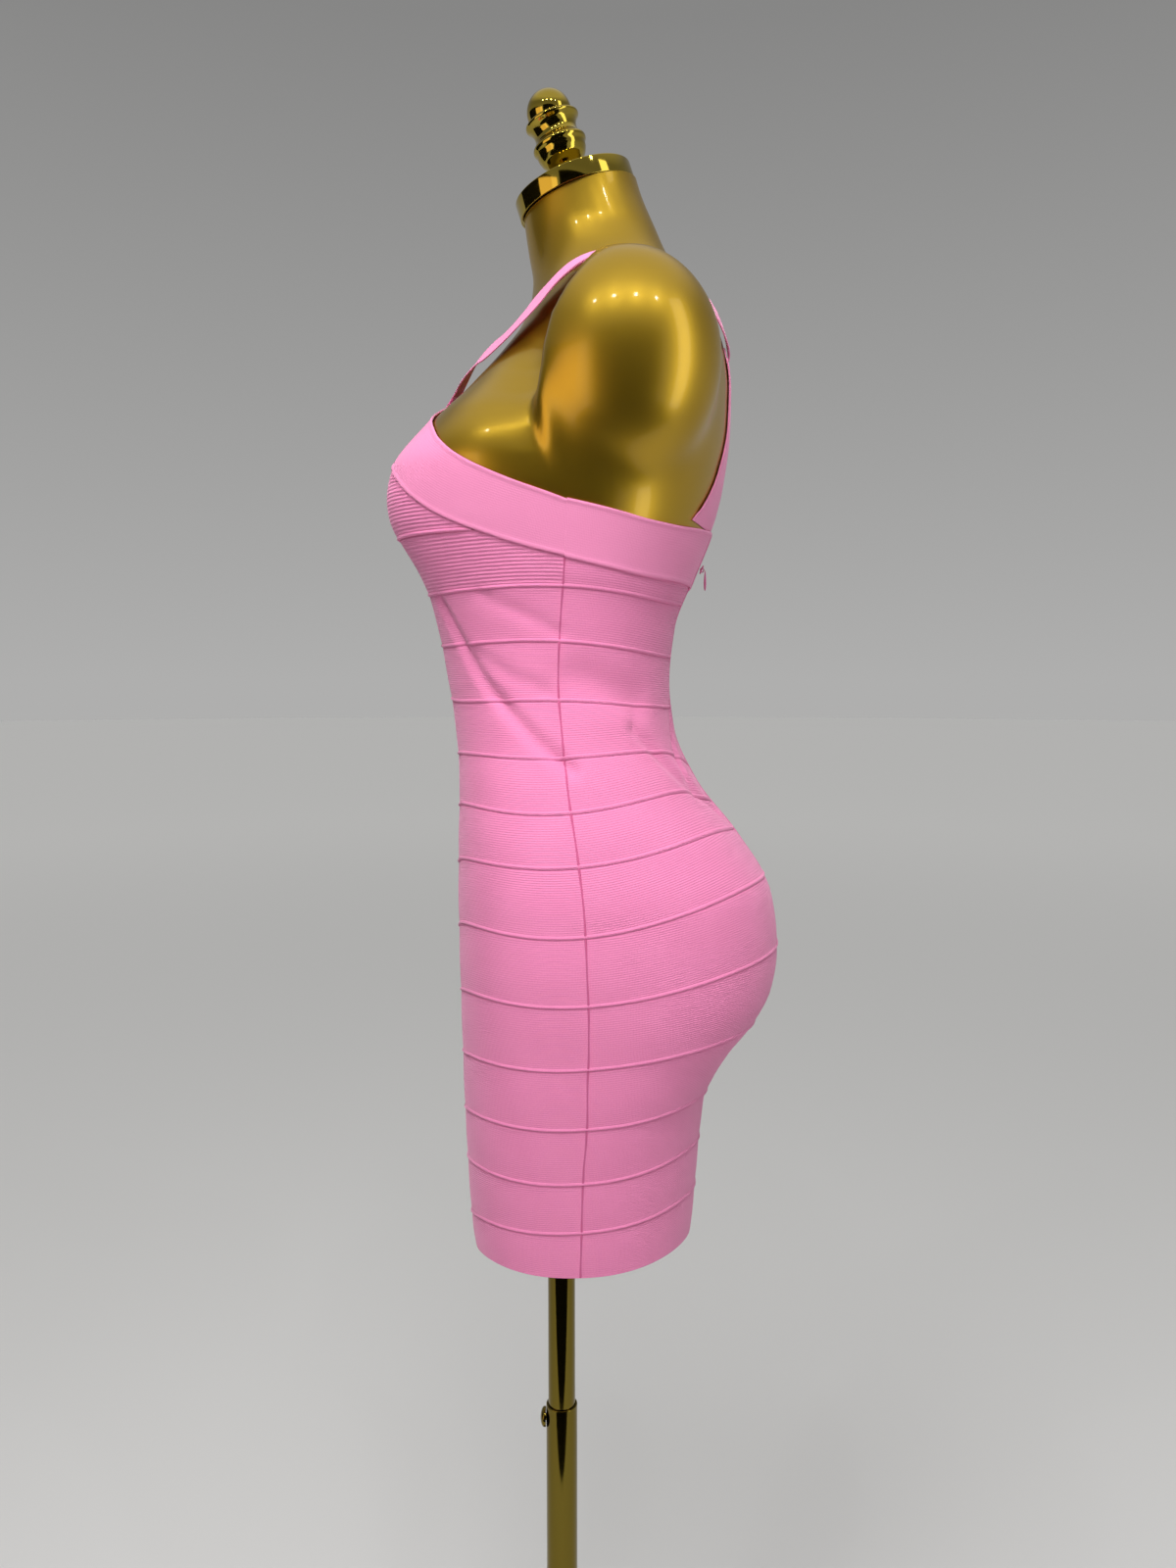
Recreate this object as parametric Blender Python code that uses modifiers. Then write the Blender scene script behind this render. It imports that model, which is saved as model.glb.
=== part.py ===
"""A banded bodycon dress standing on a limbless dress form.

Metres, +Z up. The front of the dress faces -Y and its left side is +X. The
origin is the middle of the underside of the round base, on the pole's axis.

The form is one smooth shape, given by a table of level sections with two
rounded shoulders blended in. Every piece of cloth is an open sheet laid just
outside that shape, and Solidify gives it its thickness.
"""

import math

import bmesh
import bpy
import numpy as np
from mathutils import Matrix, Vector

# ---------------------------------------------------------------- driving sizes
CLOTH = 0.0012          # thickness of the knitted bands
CLEARANCE = 0.0010      # air between the form and the cloth
SEAM_GAP = 0.0004       # between two pieces that are sewn edge to edge

BASE_RADIUS = 0.185
BASE_HEIGHT = 0.010
HUB_RADIUS = 0.032
HUB_HEIGHT = 0.016
TUBE_WALL = 0.0015
OUTER_TUBE_RADIUS = 0.0138
OUTER_TUBE_TOP = 0.598
MAST_RADIUS = 0.0120
MAST_BOTTOM = 0.140
MAST_TOP = 0.900
SCREW_HEIGHT = 0.585
SCREW_RADIUS = 0.0030
SCREW_HEAD_RADIUS = 0.0085
SCREW_HEAD_DEPTH = 0.0050
RUNNING_GAP = 0.0003

FORM_BOTTOM = 0.790
FORM_INSET = 0.0005     # the form's flat facets stay this far inside its curve
UNDER_CLOTH_INSET = 0.0020
UNDER_CLOTH_TOP = 1.335 # below this height the cloth hides the form all round
SOCKET_RADIUS = 0.0126
SOCKET_DEPTH = 0.115
NECK_TILT = math.radians(18.5)
CAP_CENTRE = Vector((0.0, 0.0154, 1.6288))      # middle of the cap's underside
CAP_RADIUS = 0.0492
CAP_HEIGHT = 0.0140

# ---------------------------------------------------------- sections of the form
# height, half width, side line's y, front y, back y, front and back squareness
SECTIONS = (
    (0.720, 0.116, 0.016, -0.066, 0.106, 2.4, 2.3),
    (0.800, 0.127, 0.018, -0.076, 0.113, 2.4, 2.3),
    (0.870, 0.137, 0.020, -0.079, 0.1185, 2.5, 2.3),
    (0.895, 0.141, 0.022, -0.080, 0.1215, 2.5, 2.3),
    (0.920, 0.145, 0.023, -0.0805, 0.1310, 2.5, 2.4),
    (0.942, 0.148, 0.023, -0.081, 0.1450, 2.5, 2.4),
    (0.965, 0.151, 0.024, -0.0815, 0.1635, 2.5, 2.5),
    (0.990, 0.154, 0.024, -0.082, 0.1760, 2.5, 2.5),
    (1.020, 0.156, 0.023, -0.0825, 0.1805, 2.5, 2.5),
    (1.065, 0.155, 0.021, -0.0830, 0.1750, 2.5, 2.5),
    (1.110, 0.148, 0.016, -0.0825, 0.1490, 2.5, 2.4),
    (1.155, 0.135, 0.009, -0.0820, 0.1140, 2.4, 2.3),
    (1.200, 0.121, 0.004, -0.0850, 0.0940, 2.3, 2.2),
    (1.240, 0.115, 0.001, -0.0910, 0.0895, 2.3, 2.2),
    (1.285, 0.118, 0.003, -0.0990, 0.0940, 2.4, 2.2),
    (1.325, 0.126, 0.006, -0.1070, 0.1090, 2.6, 2.2),
    (1.365, 0.135, 0.008, -0.1150, 0.1245, 2.9, 2.2),
    (1.400, 0.142, 0.010, -0.1160, 0.1330, 2.9, 2.2),
    (1.440, 0.146, 0.016, -0.1000, 0.1375, 2.4, 2.3),
    (1.470, 0.144, 0.024, -0.0770, 0.1380, 1.9, 2.3),
    (1.500, 0.137, 0.032, -0.0510, 0.1340, 1.7, 2.3),
    (1.525, 0.120, 0.037, -0.0330, 0.1270, 1.6, 2.1),
    (1.545, 0.095, 0.039, -0.0240, 0.1170, 1.6, 1.9),
    (1.565, 0.068, 0.038, -0.0215, 0.1030, 1.8, 1.8),
    (1.585, 0.055, 0.034, -0.0245, 0.0885, 1.9, 1.9),
    (1.605, 0.0490, 0.028, -0.0275, 0.0790, 2.0, 2.0),
    (1.635, 0.0470, 0.018, -0.0310, 0.0660, 2.0, 2.0),
    (1.680, 0.0475, 0.010, -0.0370, 0.0540, 2.0, 2.0),
)

# bust: how far each side stands forward, where, and how wide and tall it is
BUST_RISE = 0.022
BUST_X = 0.075
BUST_Z = 1.376
BUST_WIDE = 0.052
BUST_TALL = 0.050

# shoulder: centre, half sizes, and how softly it joins the trunk
SHOULDER_CENTRE = (0.116, 0.052, 1.474)
SHOULDER_SIZE = (0.053, 0.068, 0.080)
SHOULDER_BLEND = 0.007

# --------------------------------------------------------------- seams of the dress
# heights of the seams between the bands: at centre front, at 45 degrees, at the
# side seam, at 135 degrees and at centre back
SEAMS = (
    (1.3500, 1.3500, 1.3500, 1.3500, 1.3500),
    (1.3090, 1.3070, 1.3090, 1.3010, 1.3030),
    (1.2680, 1.2670, 1.2685, 1.2600, 1.2595),
    (1.2253, 1.2232, 1.2244, 1.2190, 1.2179),
    (1.1780, 1.1825, 1.1820, 1.1830, 1.1690),
    (1.1330, 1.1430, 1.1420, 1.1530, 1.1380),
    (1.0852, 1.1010, 1.1035, 1.1210, 1.1157),
    (1.0304, 1.0505, 1.0530, 1.0780, 1.0780),
    (0.9777, 0.9965, 1.0016, 1.0215, 1.0238),
    (0.9264, 0.9442, 0.9524, 0.9648, 0.9605),
    (0.8777, 0.8964, 0.9041, 0.9099, 0.8950),
    (0.8355, 0.8522, 0.8587, 0.8652, 0.8520),
    (0.7855, 0.8063, 0.8176, 0.8230, 0.8110),
    (0.7580, 0.7745, 0.7799, 0.7826, 0.7721),
)

# top band across the back: angle, height of its lower edge and of its upper edge
BACK_BAND = (
    (90, 1.3310, 1.3716),
    (100, 1.3260, 1.3667),
    (116, 1.3195, 1.3588),
    (130, 1.3178, 1.3566),
    (155, 1.3174, 1.3590),
    (180, 1.3176, 1.3625),
)

# middle line of a front band and of the strap it becomes, from the left side seam
# over the centre to the right shoulder blade: angle, height, half width, and the
# lift of its lower (then outer) and upper (then inner) edge off the form
BAND_PATH = (
    (90, 1.3513, 0.0203, 0.0000, 0.0000),
    (70, 1.3660, 0.0212, 0.0000, 0.0000),
    (53, 1.3860, 0.0228, 0.0000, 0.0000),
    (39, 1.4120, 0.0245, 0.0000, 0.0000),
    (26, 1.4280, 0.0230, 0.0000, 0.0000),
    (13, 1.4430, 0.0190, 0.0000, 0.0005),
    (3, 1.4560, 0.0140, 0.0005, 0.0010),
    (-7, 1.4710, 0.0110, 0.0010, 0.0020),
    (-17, 1.4805, 0.0125, 0.0016, 0.0038),
    (-29, 1.4905, 0.0145, 0.0016, 0.0034),
    (-46, 1.5055, 0.0160, 0.0014, 0.0018),
    (-90, 1.5535, 0.0170, 0.0010, 0.0008),
    (-135, 1.5320, 0.0175, 0.0006, 0.0006),
    (-151, 1.5140, 0.0180, 0.0000, 0.0000),
    (-162, 1.4982, 0.0185, 0.0000, 0.0000),
)
BAND_MARGIN = 0.0012     # height kept between the bands and the strip below them
BAND_SQUARE_END = 0.035  # length over which an end turns level with its seam
CROSSING_LIFT = 0.0040  # extra height of the band that passes in front
CROSSING_START = 0.026  # distance from centre front at which it starts to rise
CROSSING_RISE = 0.003   # and how sharply
CROSSING_END = 0.048    # distance past centre front at which it settles again
CROSSING_FALL = 0.55    # by this share of its lift

# racer back: height, half width
RACER = (
    (1.3640, 0.0950),
    (1.3840, 0.0790),
    (1.4060, 0.0660),
    (1.4300, 0.0580),
    (1.4600, 0.0540),
    (1.4975, 0.0550),
)

# zip at the centre back
ZIP_TOP = 1.340
ZIP_BOTTOM = 1.030
ZIP_HALF_WIDTH = 0.0035
ZIP_THICK = 0.0010
ZIP_GAP = 0.0011        # between the back panels and the chain that bridges them
SLIDER_HEIGHT = 1.3350
SLIDER_SIZE = (0.0058, 0.0026, 0.0075)
TAB_LENGTH = 0.0170
TAB_WIDTH = 0.0056
TAB_THICK = 0.0032
TAB_EYE = 0.0008

# finial: radius and height above the cap, of a turned profile up to its ball
FINIAL_PROFILE = (
    (0.0110, 0.0003),
    (0.0106, 0.0150),
    (0.0152, 0.0182),
    (0.0200, 0.0262),
    (0.0222, 0.0322),
    (0.0222, 0.0346),
    (0.0185, 0.0390),
    (0.0175, 0.0425),
    (0.0183, 0.0460),
    (0.0223, 0.0518),
    (0.0223, 0.0536),
    (0.0178, 0.0562),
)
BALL_CENTRE = 0.0600
BALL_RADIUS = 0.0182

COLLECTION = "dress_on_form"


# ------------------------------------------------------------------------ materials
def material(name, colour, roughness, metallic):
    """A Principled BSDF with one colour."""
    mat = bpy.data.materials.new(name)
    mat.use_nodes = True
    shader = mat.node_tree.nodes["Principled BSDF"]
    shader.inputs["Base Color"].default_value = (*colour, 1.0)
    shader.inputs["Roughness"].default_value = roughness
    shader.inputs["Metallic"].default_value = metallic
    return mat


def dress_materials():
    """Pink cloth and the metals of the form and its stand."""
    return {
        "knit": ((0.86, 0.25, 0.46), 0.75, 0.0),
        "band": ((0.90, 0.30, 0.52), 0.70, 0.0),
        "zip": ((0.62, 0.14, 0.32), 0.45, 0.0),
        "gold_paint": ((0.40, 0.25, 0.04), 0.38, 0.9),
        "gold_mirror": ((0.62, 0.45, 0.10), 0.10, 1.0),
    }


# ------------------------------------------------------------- the shape of the form
def smooth_column(column, heights):
    """One column of SECTIONS at any height, with no overshoot between its rows."""
    rows = np.array(SECTIONS)
    z, v = rows[:, 0], rows[:, column]
    step = np.diff(z)
    slope = np.diff(v) / step
    grad = np.zeros_like(v)
    same_way = slope[1:] * slope[:-1] > 0
    w1 = 2 * step[1:] + step[:-1]
    w2 = step[1:] + 2 * step[:-1]
    with np.errstate(divide="ignore", invalid="ignore"):
        mean = (w1 + w2) / (w1 / slope[:-1] + w2 / slope[1:])
    grad[1:-1] = np.where(same_way, mean, 0.0)
    grad[0], grad[-1] = slope[0], slope[-1]
    h = np.clip(heights, z[0], z[-1])
    i = np.clip(np.searchsorted(z, h) - 1, 0, len(step) - 1)
    t = (h - z[i]) / step[i]
    return ((1 + 2 * t) * (1 - t) ** 2 * v[i] + t * (1 - t) ** 2 * step[i] * grad[i]
            + t * t * (3 - 2 * t) * v[i + 1] + t * t * (t - 1) * step[i] * grad[i + 1])


def outside(points):
    """Signed distance, nearly, from the form's surface: positive outside it."""
    x, y, z = np.abs(points[..., 0]), points[..., 1], points[..., 2]
    wide, side, front, back, front_power, back_power = (smooth_column(c, z) for c in range(1, 7))
    bust = BUST_RISE * np.exp(-((x - BUST_X) / BUST_WIDE) ** 2 - ((z - BUST_Z) / BUST_TALL) ** 2)
    forward = y < side
    power = np.where(forward, front_power, back_power)
    reach = np.where(forward, side - front, back - side)
    along = np.where(forward, np.maximum(side - y - bust, 0.0), y - side) / reach
    trunk = ((x / wide) ** power + along ** power) ** (1 / power)
    trunk = (trunk - 1) * np.minimum(wide, (back - front) / 2)
    offset = [(p - c) / s for p, c, s in zip((x, y, z), SHOULDER_CENTRE, SHOULDER_SIZE)]
    shoulder = (np.sqrt(sum(o * o for o in offset)) - 1) * SHOULDER_SIZE[1]
    least = np.minimum(trunk, shoulder)
    spread = np.exp(-(trunk - least) / SHOULDER_BLEND) + np.exp(-(shoulder - least) / SHOULDER_BLEND)
    return least - SHOULDER_BLEND * np.log(spread)


def normals(points):
    """Outward directions of the form at points near its surface."""
    step = 0.0004
    grad = np.zeros_like(points)
    for axis in range(3):
        shift = np.zeros(3)
        shift[axis] = step
        grad[..., axis] = outside(points + shift) - outside(points - shift)
    return unit(grad)


def on_form(angle, height, lift=0.0):
    """Points off the form by a lift, seen from its middle at an angle.

    An angle of 0 is centre front, a right angle is the wearer's left side.
    """
    angle, height = np.broadcast_arrays(np.asarray(angle, float), np.asarray(height, float))
    side = smooth_column(2, height)
    near, far = np.full(angle.shape, 0.002), np.full(angle.shape, 0.26)
    for _ in range(34):
        middle = (near + far) / 2
        inside = outside(ray_points(angle, height, side, middle)) < 0
        near, far = np.where(inside, middle, near), np.where(inside, far, middle)
    points = ray_points(angle, height, side, near)
    return points + normals(points) * np.asarray(lift)[..., None]


def ray_points(angle, height, side, radius):
    """Points on level rays out of the form's middle."""
    return np.stack([radius * np.sin(angle), side - radius * np.cos(angle), height], axis=-1)


def settle(points, lift):
    """Moves points straight onto the surface that lies a lift off the form."""
    for _ in range(8):
        direction = normals(points)
        points = points - direction * outside(points)[..., None]
    return points + normals(points) * np.asarray(lift)[..., None]


# ------------------------------------------------------------------- making objects
def link(obj):
    """Puts an object in the dress's collection."""
    bpy.data.collections[COLLECTION].objects.link(obj)
    return obj


def mesh_object(name, mesh_data, mat, smooth_angle=40):
    """An object from a bmesh, shaded smooth up to an angle."""
    mesh = bpy.data.meshes.new(name)
    mesh_data.to_mesh(mesh)
    mesh_data.free()
    mesh.materials.append(bpy.data.materials[mat])
    mesh.shade_smooth()
    mesh.set_sharp_from_angle(angle=math.radians(smooth_angle))
    return link(bpy.data.objects.new(name, mesh))


def cloth(name, grid, mat="knit", thickness=CLOTH):
    """A sheet from a grid of points on its inner face, thickened outwards."""
    rows, columns = grid.shape[:2]
    bm = bmesh.new()
    verts = [[bm.verts.new(grid[r, c]) for c in range(columns)] for r in range(rows)]
    for r in range(rows - 1):
        for c in range(columns - 1):
            corners = (verts[r][c], verts[r][c + 1], verts[r + 1][c + 1], verts[r + 1][c])
            bm.faces.new(corners)
    bm.normal_update()
    middle = bm.faces[:][len(bm.faces) // 2]
    outward = normals(np.array(middle.calc_center_median())[None])[0]
    if middle.normal.dot(Vector(outward)) < 0:
        bmesh.ops.reverse_faces(bm, faces=bm.faces[:])
    obj = mesh_object(name, bm, mat)
    wall = obj.modifiers.new("thickness", "SOLIDIFY")
    wall.thickness = thickness
    wall.offset = 1.0
    wall.use_even_offset = True
    return obj


def turned(name, profile, mat, steps, place=Matrix()):
    """A turned solid from (radius, height) rows that run from top to bottom."""
    bm = bmesh.new()
    verts = [bm.verts.new((radius, 0.0, height)) for radius, height in profile]
    for upper, lower in zip(verts, verts[1:]):
        bm.edges.new((upper, lower))
    obj = mesh_object(name, bm, mat)
    screw = obj.modifiers.new("turn", "SCREW")
    screw.steps = screw.render_steps = steps
    screw.use_merge_vertices = True
    screw.merge_threshold = 0.0001
    screw.use_smooth_shade = True
    obj.matrix_world = place
    return obj


# ------------------------------------------------------------------- seams and edges
def seam_height(index, angle):
    """Height of one seam at an angle: an even, smooth curve through its five heights."""
    order = np.arange(5)
    waves = np.cos(np.outer(order * math.pi / 4, order))
    amount = np.linalg.solve(waves, SEAMS[index])
    return np.cos(np.multiply.outer(np.abs(angle), order)) @ amount


def back_band_edge(which, angle):
    """Height of the lower (0) or upper (1) edge of the band across the back."""
    degrees, *edges = np.array(BACK_BAND).T
    return np.interp(np.degrees(np.abs(angle)), degrees, edges[which])


def smooth_path(points, count):
    """Evenly spaced points on a smooth curve through some points."""
    ends = [2 * points[0] - points[1], *points, 2 * points[-1] - points[-2]]
    fine = []
    for a, b, c, d in zip(ends, ends[1:], ends[2:], ends[3:]):
        for t in np.linspace(0, 1, 12, endpoint=False):
            fine.append(0.5 * (2 * b + (c - a) * t + (2 * a - 5 * b + 4 * c - d) * t * t
                               + (3 * b - a - 3 * c + d) * t ** 3))
    fine = np.array([*fine, points[-1]])
    length = np.concatenate([[0], np.cumsum(np.linalg.norm(np.diff(fine[:, :3], axis=0), axis=1))])
    even = np.linspace(0, length[-1], count)
    return np.stack([np.interp(even, length, fine[:, k]) for k in range(fine.shape[1])], axis=1)


def band_grid(count, across, extra_lift):
    """Inner face of a left front band: rows from its lower to its upper edge."""
    degrees, height, *rest = np.array(BAND_PATH).T
    angle = np.radians(degrees)
    angle[0] -= SEAM_GAP / 2 / SECTIONS[0][1]
    rows = np.column_stack([on_form(angle, height), *rest])
    path = smooth_path(rows, count)
    half_width, low_lift, high_lift = path[:, 3], path[:, 4], path[:, 5]
    middle = settle(path[:, :3], np.zeros(count))
    along = np.gradient(middle, axis=0)
    up = unit(np.cross(normals(middle), along))
    up *= np.sign(up[0, 2])
    run = np.concatenate([[0], np.cumsum(np.linalg.norm(np.diff(middle, axis=0), axis=1))])
    at_side = np.clip(1 - run / BAND_SQUARE_END, 0, 1)[:, None]
    at_back = np.clip(1 - (run[-1] - run) / BAND_SQUARE_END, 0, 1)[:, None]
    up = unit(up * (1 - at_side) * (1 - at_back) + at_side * [0, 0, 1] + at_back * [1, 0, 0])
    passed = 1 / (1 + np.exp((middle[:, 0] - CROSSING_START) / CROSSING_RISE))
    beyond = 1 / (1 + np.exp((middle[:, 0] + CROSSING_END) / CROSSING_RISE))
    passed *= 1 - CROSSING_FALL * np.where(middle[:, 1] < 0, beyond, 1.0)
    share = np.linspace(0, 1, across)[:, None]
    lift = CLEARANCE + extra_lift * passed + low_lift + (high_lift - low_lift) * share
    flat = middle + up * ((2 * share - 1) * half_width)[..., None]
    lean = smooth_column(2, flat[..., 2]) - smooth_column(2, middle[:, 2])
    flat[..., 1] += lean * at_side[:, 0]
    return settle(flat, lift)


def unit(vectors):
    """Directions of length one."""
    return vectors / np.linalg.norm(vectors, axis=-1, keepdims=True)


def mirrored(grid):
    """A grid of points on the other side of the centre line."""
    return grid * np.array([-1.0, 1.0, 1.0])


# -------------------------------------------------------------------- the dress
def front_bands():
    """The two bands that cross at centre front; the right one passes in front."""
    count, across = 48, 5
    left = band_grid(count, across, 0.0)
    right = mirrored(band_grid(count, across, CROSSING_LIFT))
    cloth("left_front_band", left, "band")
    cloth("right_front_band", right, "band")
    return left[0]


def band_lower_edge(edge, angle):
    """Height of the front bands' lower edge at an angle, from its points."""
    side = smooth_column(2, edge[:, 2])
    edge_angle = np.arctan2(edge[:, 0], side - edge[:, 1])
    near = slice(0, int(np.argmax(edge_angle < 0)) + 1)
    return np.interp(np.abs(angle), edge_angle[near][::-1], edge[near, 2][::-1]) - BAND_MARGIN


def strip(name, angles, lower, upper, rows):
    """One band of the dress between two seams, on its span of angles."""
    share = np.linspace(0, 1, rows + 1)[:, None]
    height = (lower + SEAM_GAP / 2) + (upper - lower - SEAM_GAP) * share
    cloth(name, on_form(np.broadcast_to(angles, height.shape), height, np.full(height.shape, CLEARANCE)))


def span(start, end, radius, count):
    """Angles from one seam to another, half a seam gap inside each."""
    inset = SEAM_GAP / 2 / radius
    return np.linspace(start + inset, end - inset, count + 1)


def front_strips(edge):
    """The front: the first band fills up to the bust, the rest go side to side."""
    side = math.pi / 2
    angles = span(-side, side, 0.13, 18)
    top = band_lower_edge(edge, angles)
    meeting = np.radians(61)
    cup = np.linspace(-meeting, meeting, 29)
    strip("front_strip_01", cup, seam_height(0, cup), band_lower_edge(edge, cup), 6)
    for index in range(1, len(SEAMS)):
        upper = np.minimum(seam_height(index - 1, angles), top)
        lower = seam_height(index, angles)
        strip(f"front_strip_{index + 1:02d}", angles, lower, upper, 2 if index < 6 else 1)


def back_strips():
    """The left and right backs, one band under the other."""
    for side, sign in (("left", 1), ("right", -1)):
        angles = sign * span(math.pi / 2, math.pi, 0.13, 9)
        for index in range(1, len(SEAMS)):
            upper = seam_height(index - 1, angles) if index > 1 else back_band_edge(0, angles)
            strip(f"{side}_back_strip_{index + 1:02d}", angles, seam_height(index, angles), upper, 2 if index < 11 else 1)
        strip(f"{side}_back_band", angles, back_band_edge(0, angles), back_band_edge(1, angles), 2)


def racer_back():
    """The upper back, from the band's top edge to the foot of the straps."""
    rows, columns = 8, 12
    table = np.array(RACER)
    heights = np.linspace(table[0, 0], table[-1, 0], rows + 1)
    half = np.interp(heights, table[:, 0], table[:, 1])
    share = np.linspace(-1, 1, columns + 1)
    x = share[None] * half[:, None]
    z = np.broadcast_to(heights[:, None], x.shape).copy()
    back = smooth_column(4, z)
    points = settle(np.stack([x, back, z], axis=-1), np.zeros(x.shape))
    side = smooth_column(2, z[0])
    angle = np.arctan2(points[0, :, 0], side - points[0, :, 1])
    foot = back_band_edge(1, angle) + SEAM_GAP
    blend = np.linspace(1, 0, rows + 1)[:, None]
    z += (foot[None] - z[0][None]) * blend
    points = np.stack([x, back, z], axis=-1)
    cloth("racer_back", settle(points, np.full(x.shape, CLEARANCE)), "band")


def zip_pieces():
    """The closed zip down the centre back, its slider and its hanging tab."""
    panel_face = CLEARANCE + CLOTH
    heights = np.linspace(ZIP_BOTTOM, ZIP_TOP, 25)
    middle = on_form(np.full(heights.shape, math.pi), heights, np.full(heights.shape, panel_face + ZIP_GAP))
    half = np.array([ZIP_HALF_WIDTH, 0.0, 0.0])
    cloth("zip_chain", np.stack([middle - half, middle + half]), "zip", ZIP_THICK)
    lift = panel_face + ZIP_GAP + ZIP_THICK + SEAM_GAP
    seat = on_form(math.pi, SLIDER_HEIGHT, lift)
    out = normals(seat[None])[0]
    tilt = math.atan2(out[2], out[1])
    turn = Matrix.Rotation(tilt, 4, "X")
    bm = bmesh.new()
    bmesh.ops.create_cube(bm, size=1.0, matrix=Matrix.Diagonal((*SLIDER_SIZE, 1.0)))
    bmesh.ops.bevel(bm, geom=bm.edges[:], offset=0.0008, segments=1, affect="EDGES")
    slider = mesh_object("zip_slider", bm, "zip")
    centre = Vector(seat) + turn @ Vector((0, SLIDER_SIZE[1] / 2, 0))
    slider.matrix_world = Matrix.Translation(centre) @ turn
    hinge = centre + turn @ Vector((0, SLIDER_SIZE[1] / 2 + TAB_THICK / 2 + 0.0004, 0))
    bm = bmesh.new()
    bmesh.ops.create_uvsphere(bm, u_segments=12, v_segments=10, radius=0.5)
    for vert in bm.verts:
        low = 0.5 - vert.co.z
        waist = 0.45 + 0.55 * low
        vert.co = Vector((vert.co.x * waist * TAB_WIDTH, vert.co.y * waist * TAB_THICK,
                          TAB_EYE - low * TAB_LENGTH))
    tab = mesh_object("zip_pull_tab", bm, "zip")
    tab.location = hinge
    return hinge


# --------------------------------------------------------------- the form and its stand
def pulled_in(grid, inset):
    """Rings of points moved inwards until the flat facets between them are inside the form too."""
    inward = -normals(grid)
    depth = np.broadcast_to(inset, grid.shape[:2]).copy()
    for _ in range(4):
        points = grid + inward * depth[..., None]
        beside = (points + np.roll(points, -1, axis=1)) / 2
        above = (points[1:] + points[:-1]) / 2
        after = np.roll(points, -1, axis=1)
        across = np.stack([points[1:] + after[:-1], points[:-1] + after[1:]]) / 2
        out_beside, out_above, out_across = (np.maximum(outside(p), 0) for p in (beside, above, across))
        out_within = out_across.max(axis=0)
        most = np.maximum(out_beside, np.roll(out_beside, 1, axis=1))
        for rows in (slice(1, None), slice(None, -1)):
            corner = np.maximum(out_within, np.roll(out_within, 1, axis=1))
            most[rows] = np.maximum(most[rows], np.maximum(out_above, corner))
        depth += most
    return grid + inward * depth[..., None]


def torso():
    """The limbless form: rings up to the neck, cut at the cap, with its socket."""
    bm = bmesh.new()
    around = 40
    angles = np.linspace(-math.pi, math.pi, around, endpoint=False)
    heights = np.concatenate([np.linspace(FORM_BOTTOM, 1.33, 13), np.linspace(1.35, 1.50, 9),
                              np.linspace(1.512, 1.60, 10), np.linspace(1.62, 1.68, 3)])
    inset = FORM_INSET + UNDER_CLOTH_INSET / (1 + np.exp((heights - UNDER_CLOTH_TOP) / 0.006))
    grid = pulled_in(on_form(*np.meshgrid(angles, heights)), inset[:, None])
    rings = [[bm.verts.new(p) for p in row] for row in grid]
    for low, high in zip(rings, rings[1:]):
        for k in range(around):
            after = (k + 1) % around
            bm.faces.new((low[k], low[after], high[after], high[k]))
    bm.faces.new(rings[0][::-1])
    bm.faces.new(rings[-1])
    up = Vector((0, -math.sin(NECK_TILT), math.cos(NECK_TILT)))
    seat = CAP_CENTRE - up * RUNNING_GAP
    cut = bmesh.ops.bisect_plane(bm, geom=bm.verts[:] + bm.edges[:] + bm.faces[:], plane_co=seat,
                                 plane_no=up, clear_outer=True)
    rim = [e for e in cut["geom_cut"] if isinstance(e, bmesh.types.BMEdge)]
    bmesh.ops.edgeloop_fill(bm, edges=rim)
    bmesh.ops.recalc_face_normals(bm, faces=bm.faces[:])
    body = mesh_object("torso", bm, "gold_paint")
    socket = cutter_cylinder("socket_cutter", SOCKET_RADIUS, SOCKET_DEPTH + 0.02,
                             Vector((0, 0, FORM_BOTTOM - 0.02 + (SOCKET_DEPTH + 0.02) / 2)))
    cut_out = body.modifiers.new("socket", "BOOLEAN")
    cut_out.operation = "DIFFERENCE"
    cut_out.object = socket


def cutter_cylinder(name, radius, depth, centre, turn=Matrix()):
    """A hidden cylinder that only cuts."""
    bm = bmesh.new()
    bmesh.ops.create_cone(bm, cap_ends=True, segments=32, radius1=radius, radius2=radius, depth=depth)
    mesh = bpy.data.meshes.new(name)
    bm.to_mesh(mesh)
    bm.free()
    cutter = bpy.data.objects.new(name, mesh)
    bpy.data.collections["cutters"].objects.link(cutter)
    cutter.matrix_world = Matrix.Translation(centre) @ turn
    cutter.hide_render = True
    cutter.display_type = "WIRE"
    return cutter


def cap_and_finial():
    """The neck's cap and the turned finial, both square to the sloping neck."""
    turn = Matrix.Rotation(NECK_TILT, 4, "X")
    place = Matrix.Translation(CAP_CENTRE) @ turn
    edge = 0.0010
    turned("neck_cap", ((0.0, CAP_HEIGHT), (CAP_RADIUS - edge, CAP_HEIGHT), (CAP_RADIUS, CAP_HEIGHT - edge),
                        (CAP_RADIUS, edge), (CAP_RADIUS - edge, 0.0), (0.0, 0.0)), "gold_mirror", 40, place)
    start = math.asin((FINIAL_PROFILE[-1][1] - BALL_CENTRE) / BALL_RADIUS)
    ball = [(BALL_RADIUS * math.cos(a), BALL_CENTRE + BALL_RADIUS * math.sin(a))
            for a in np.linspace(math.pi / 2, start, 8)]
    ball[0] = (0.0, BALL_CENTRE + BALL_RADIUS)
    rows = [*ball, *FINIAL_PROFILE[-2::-1], (0.0, FINIAL_PROFILE[0][1])]
    lift = Matrix.Translation((0, 0, CAP_HEIGHT))
    turned("finial", rows, "gold_mirror", 18, place @ lift)


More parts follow.
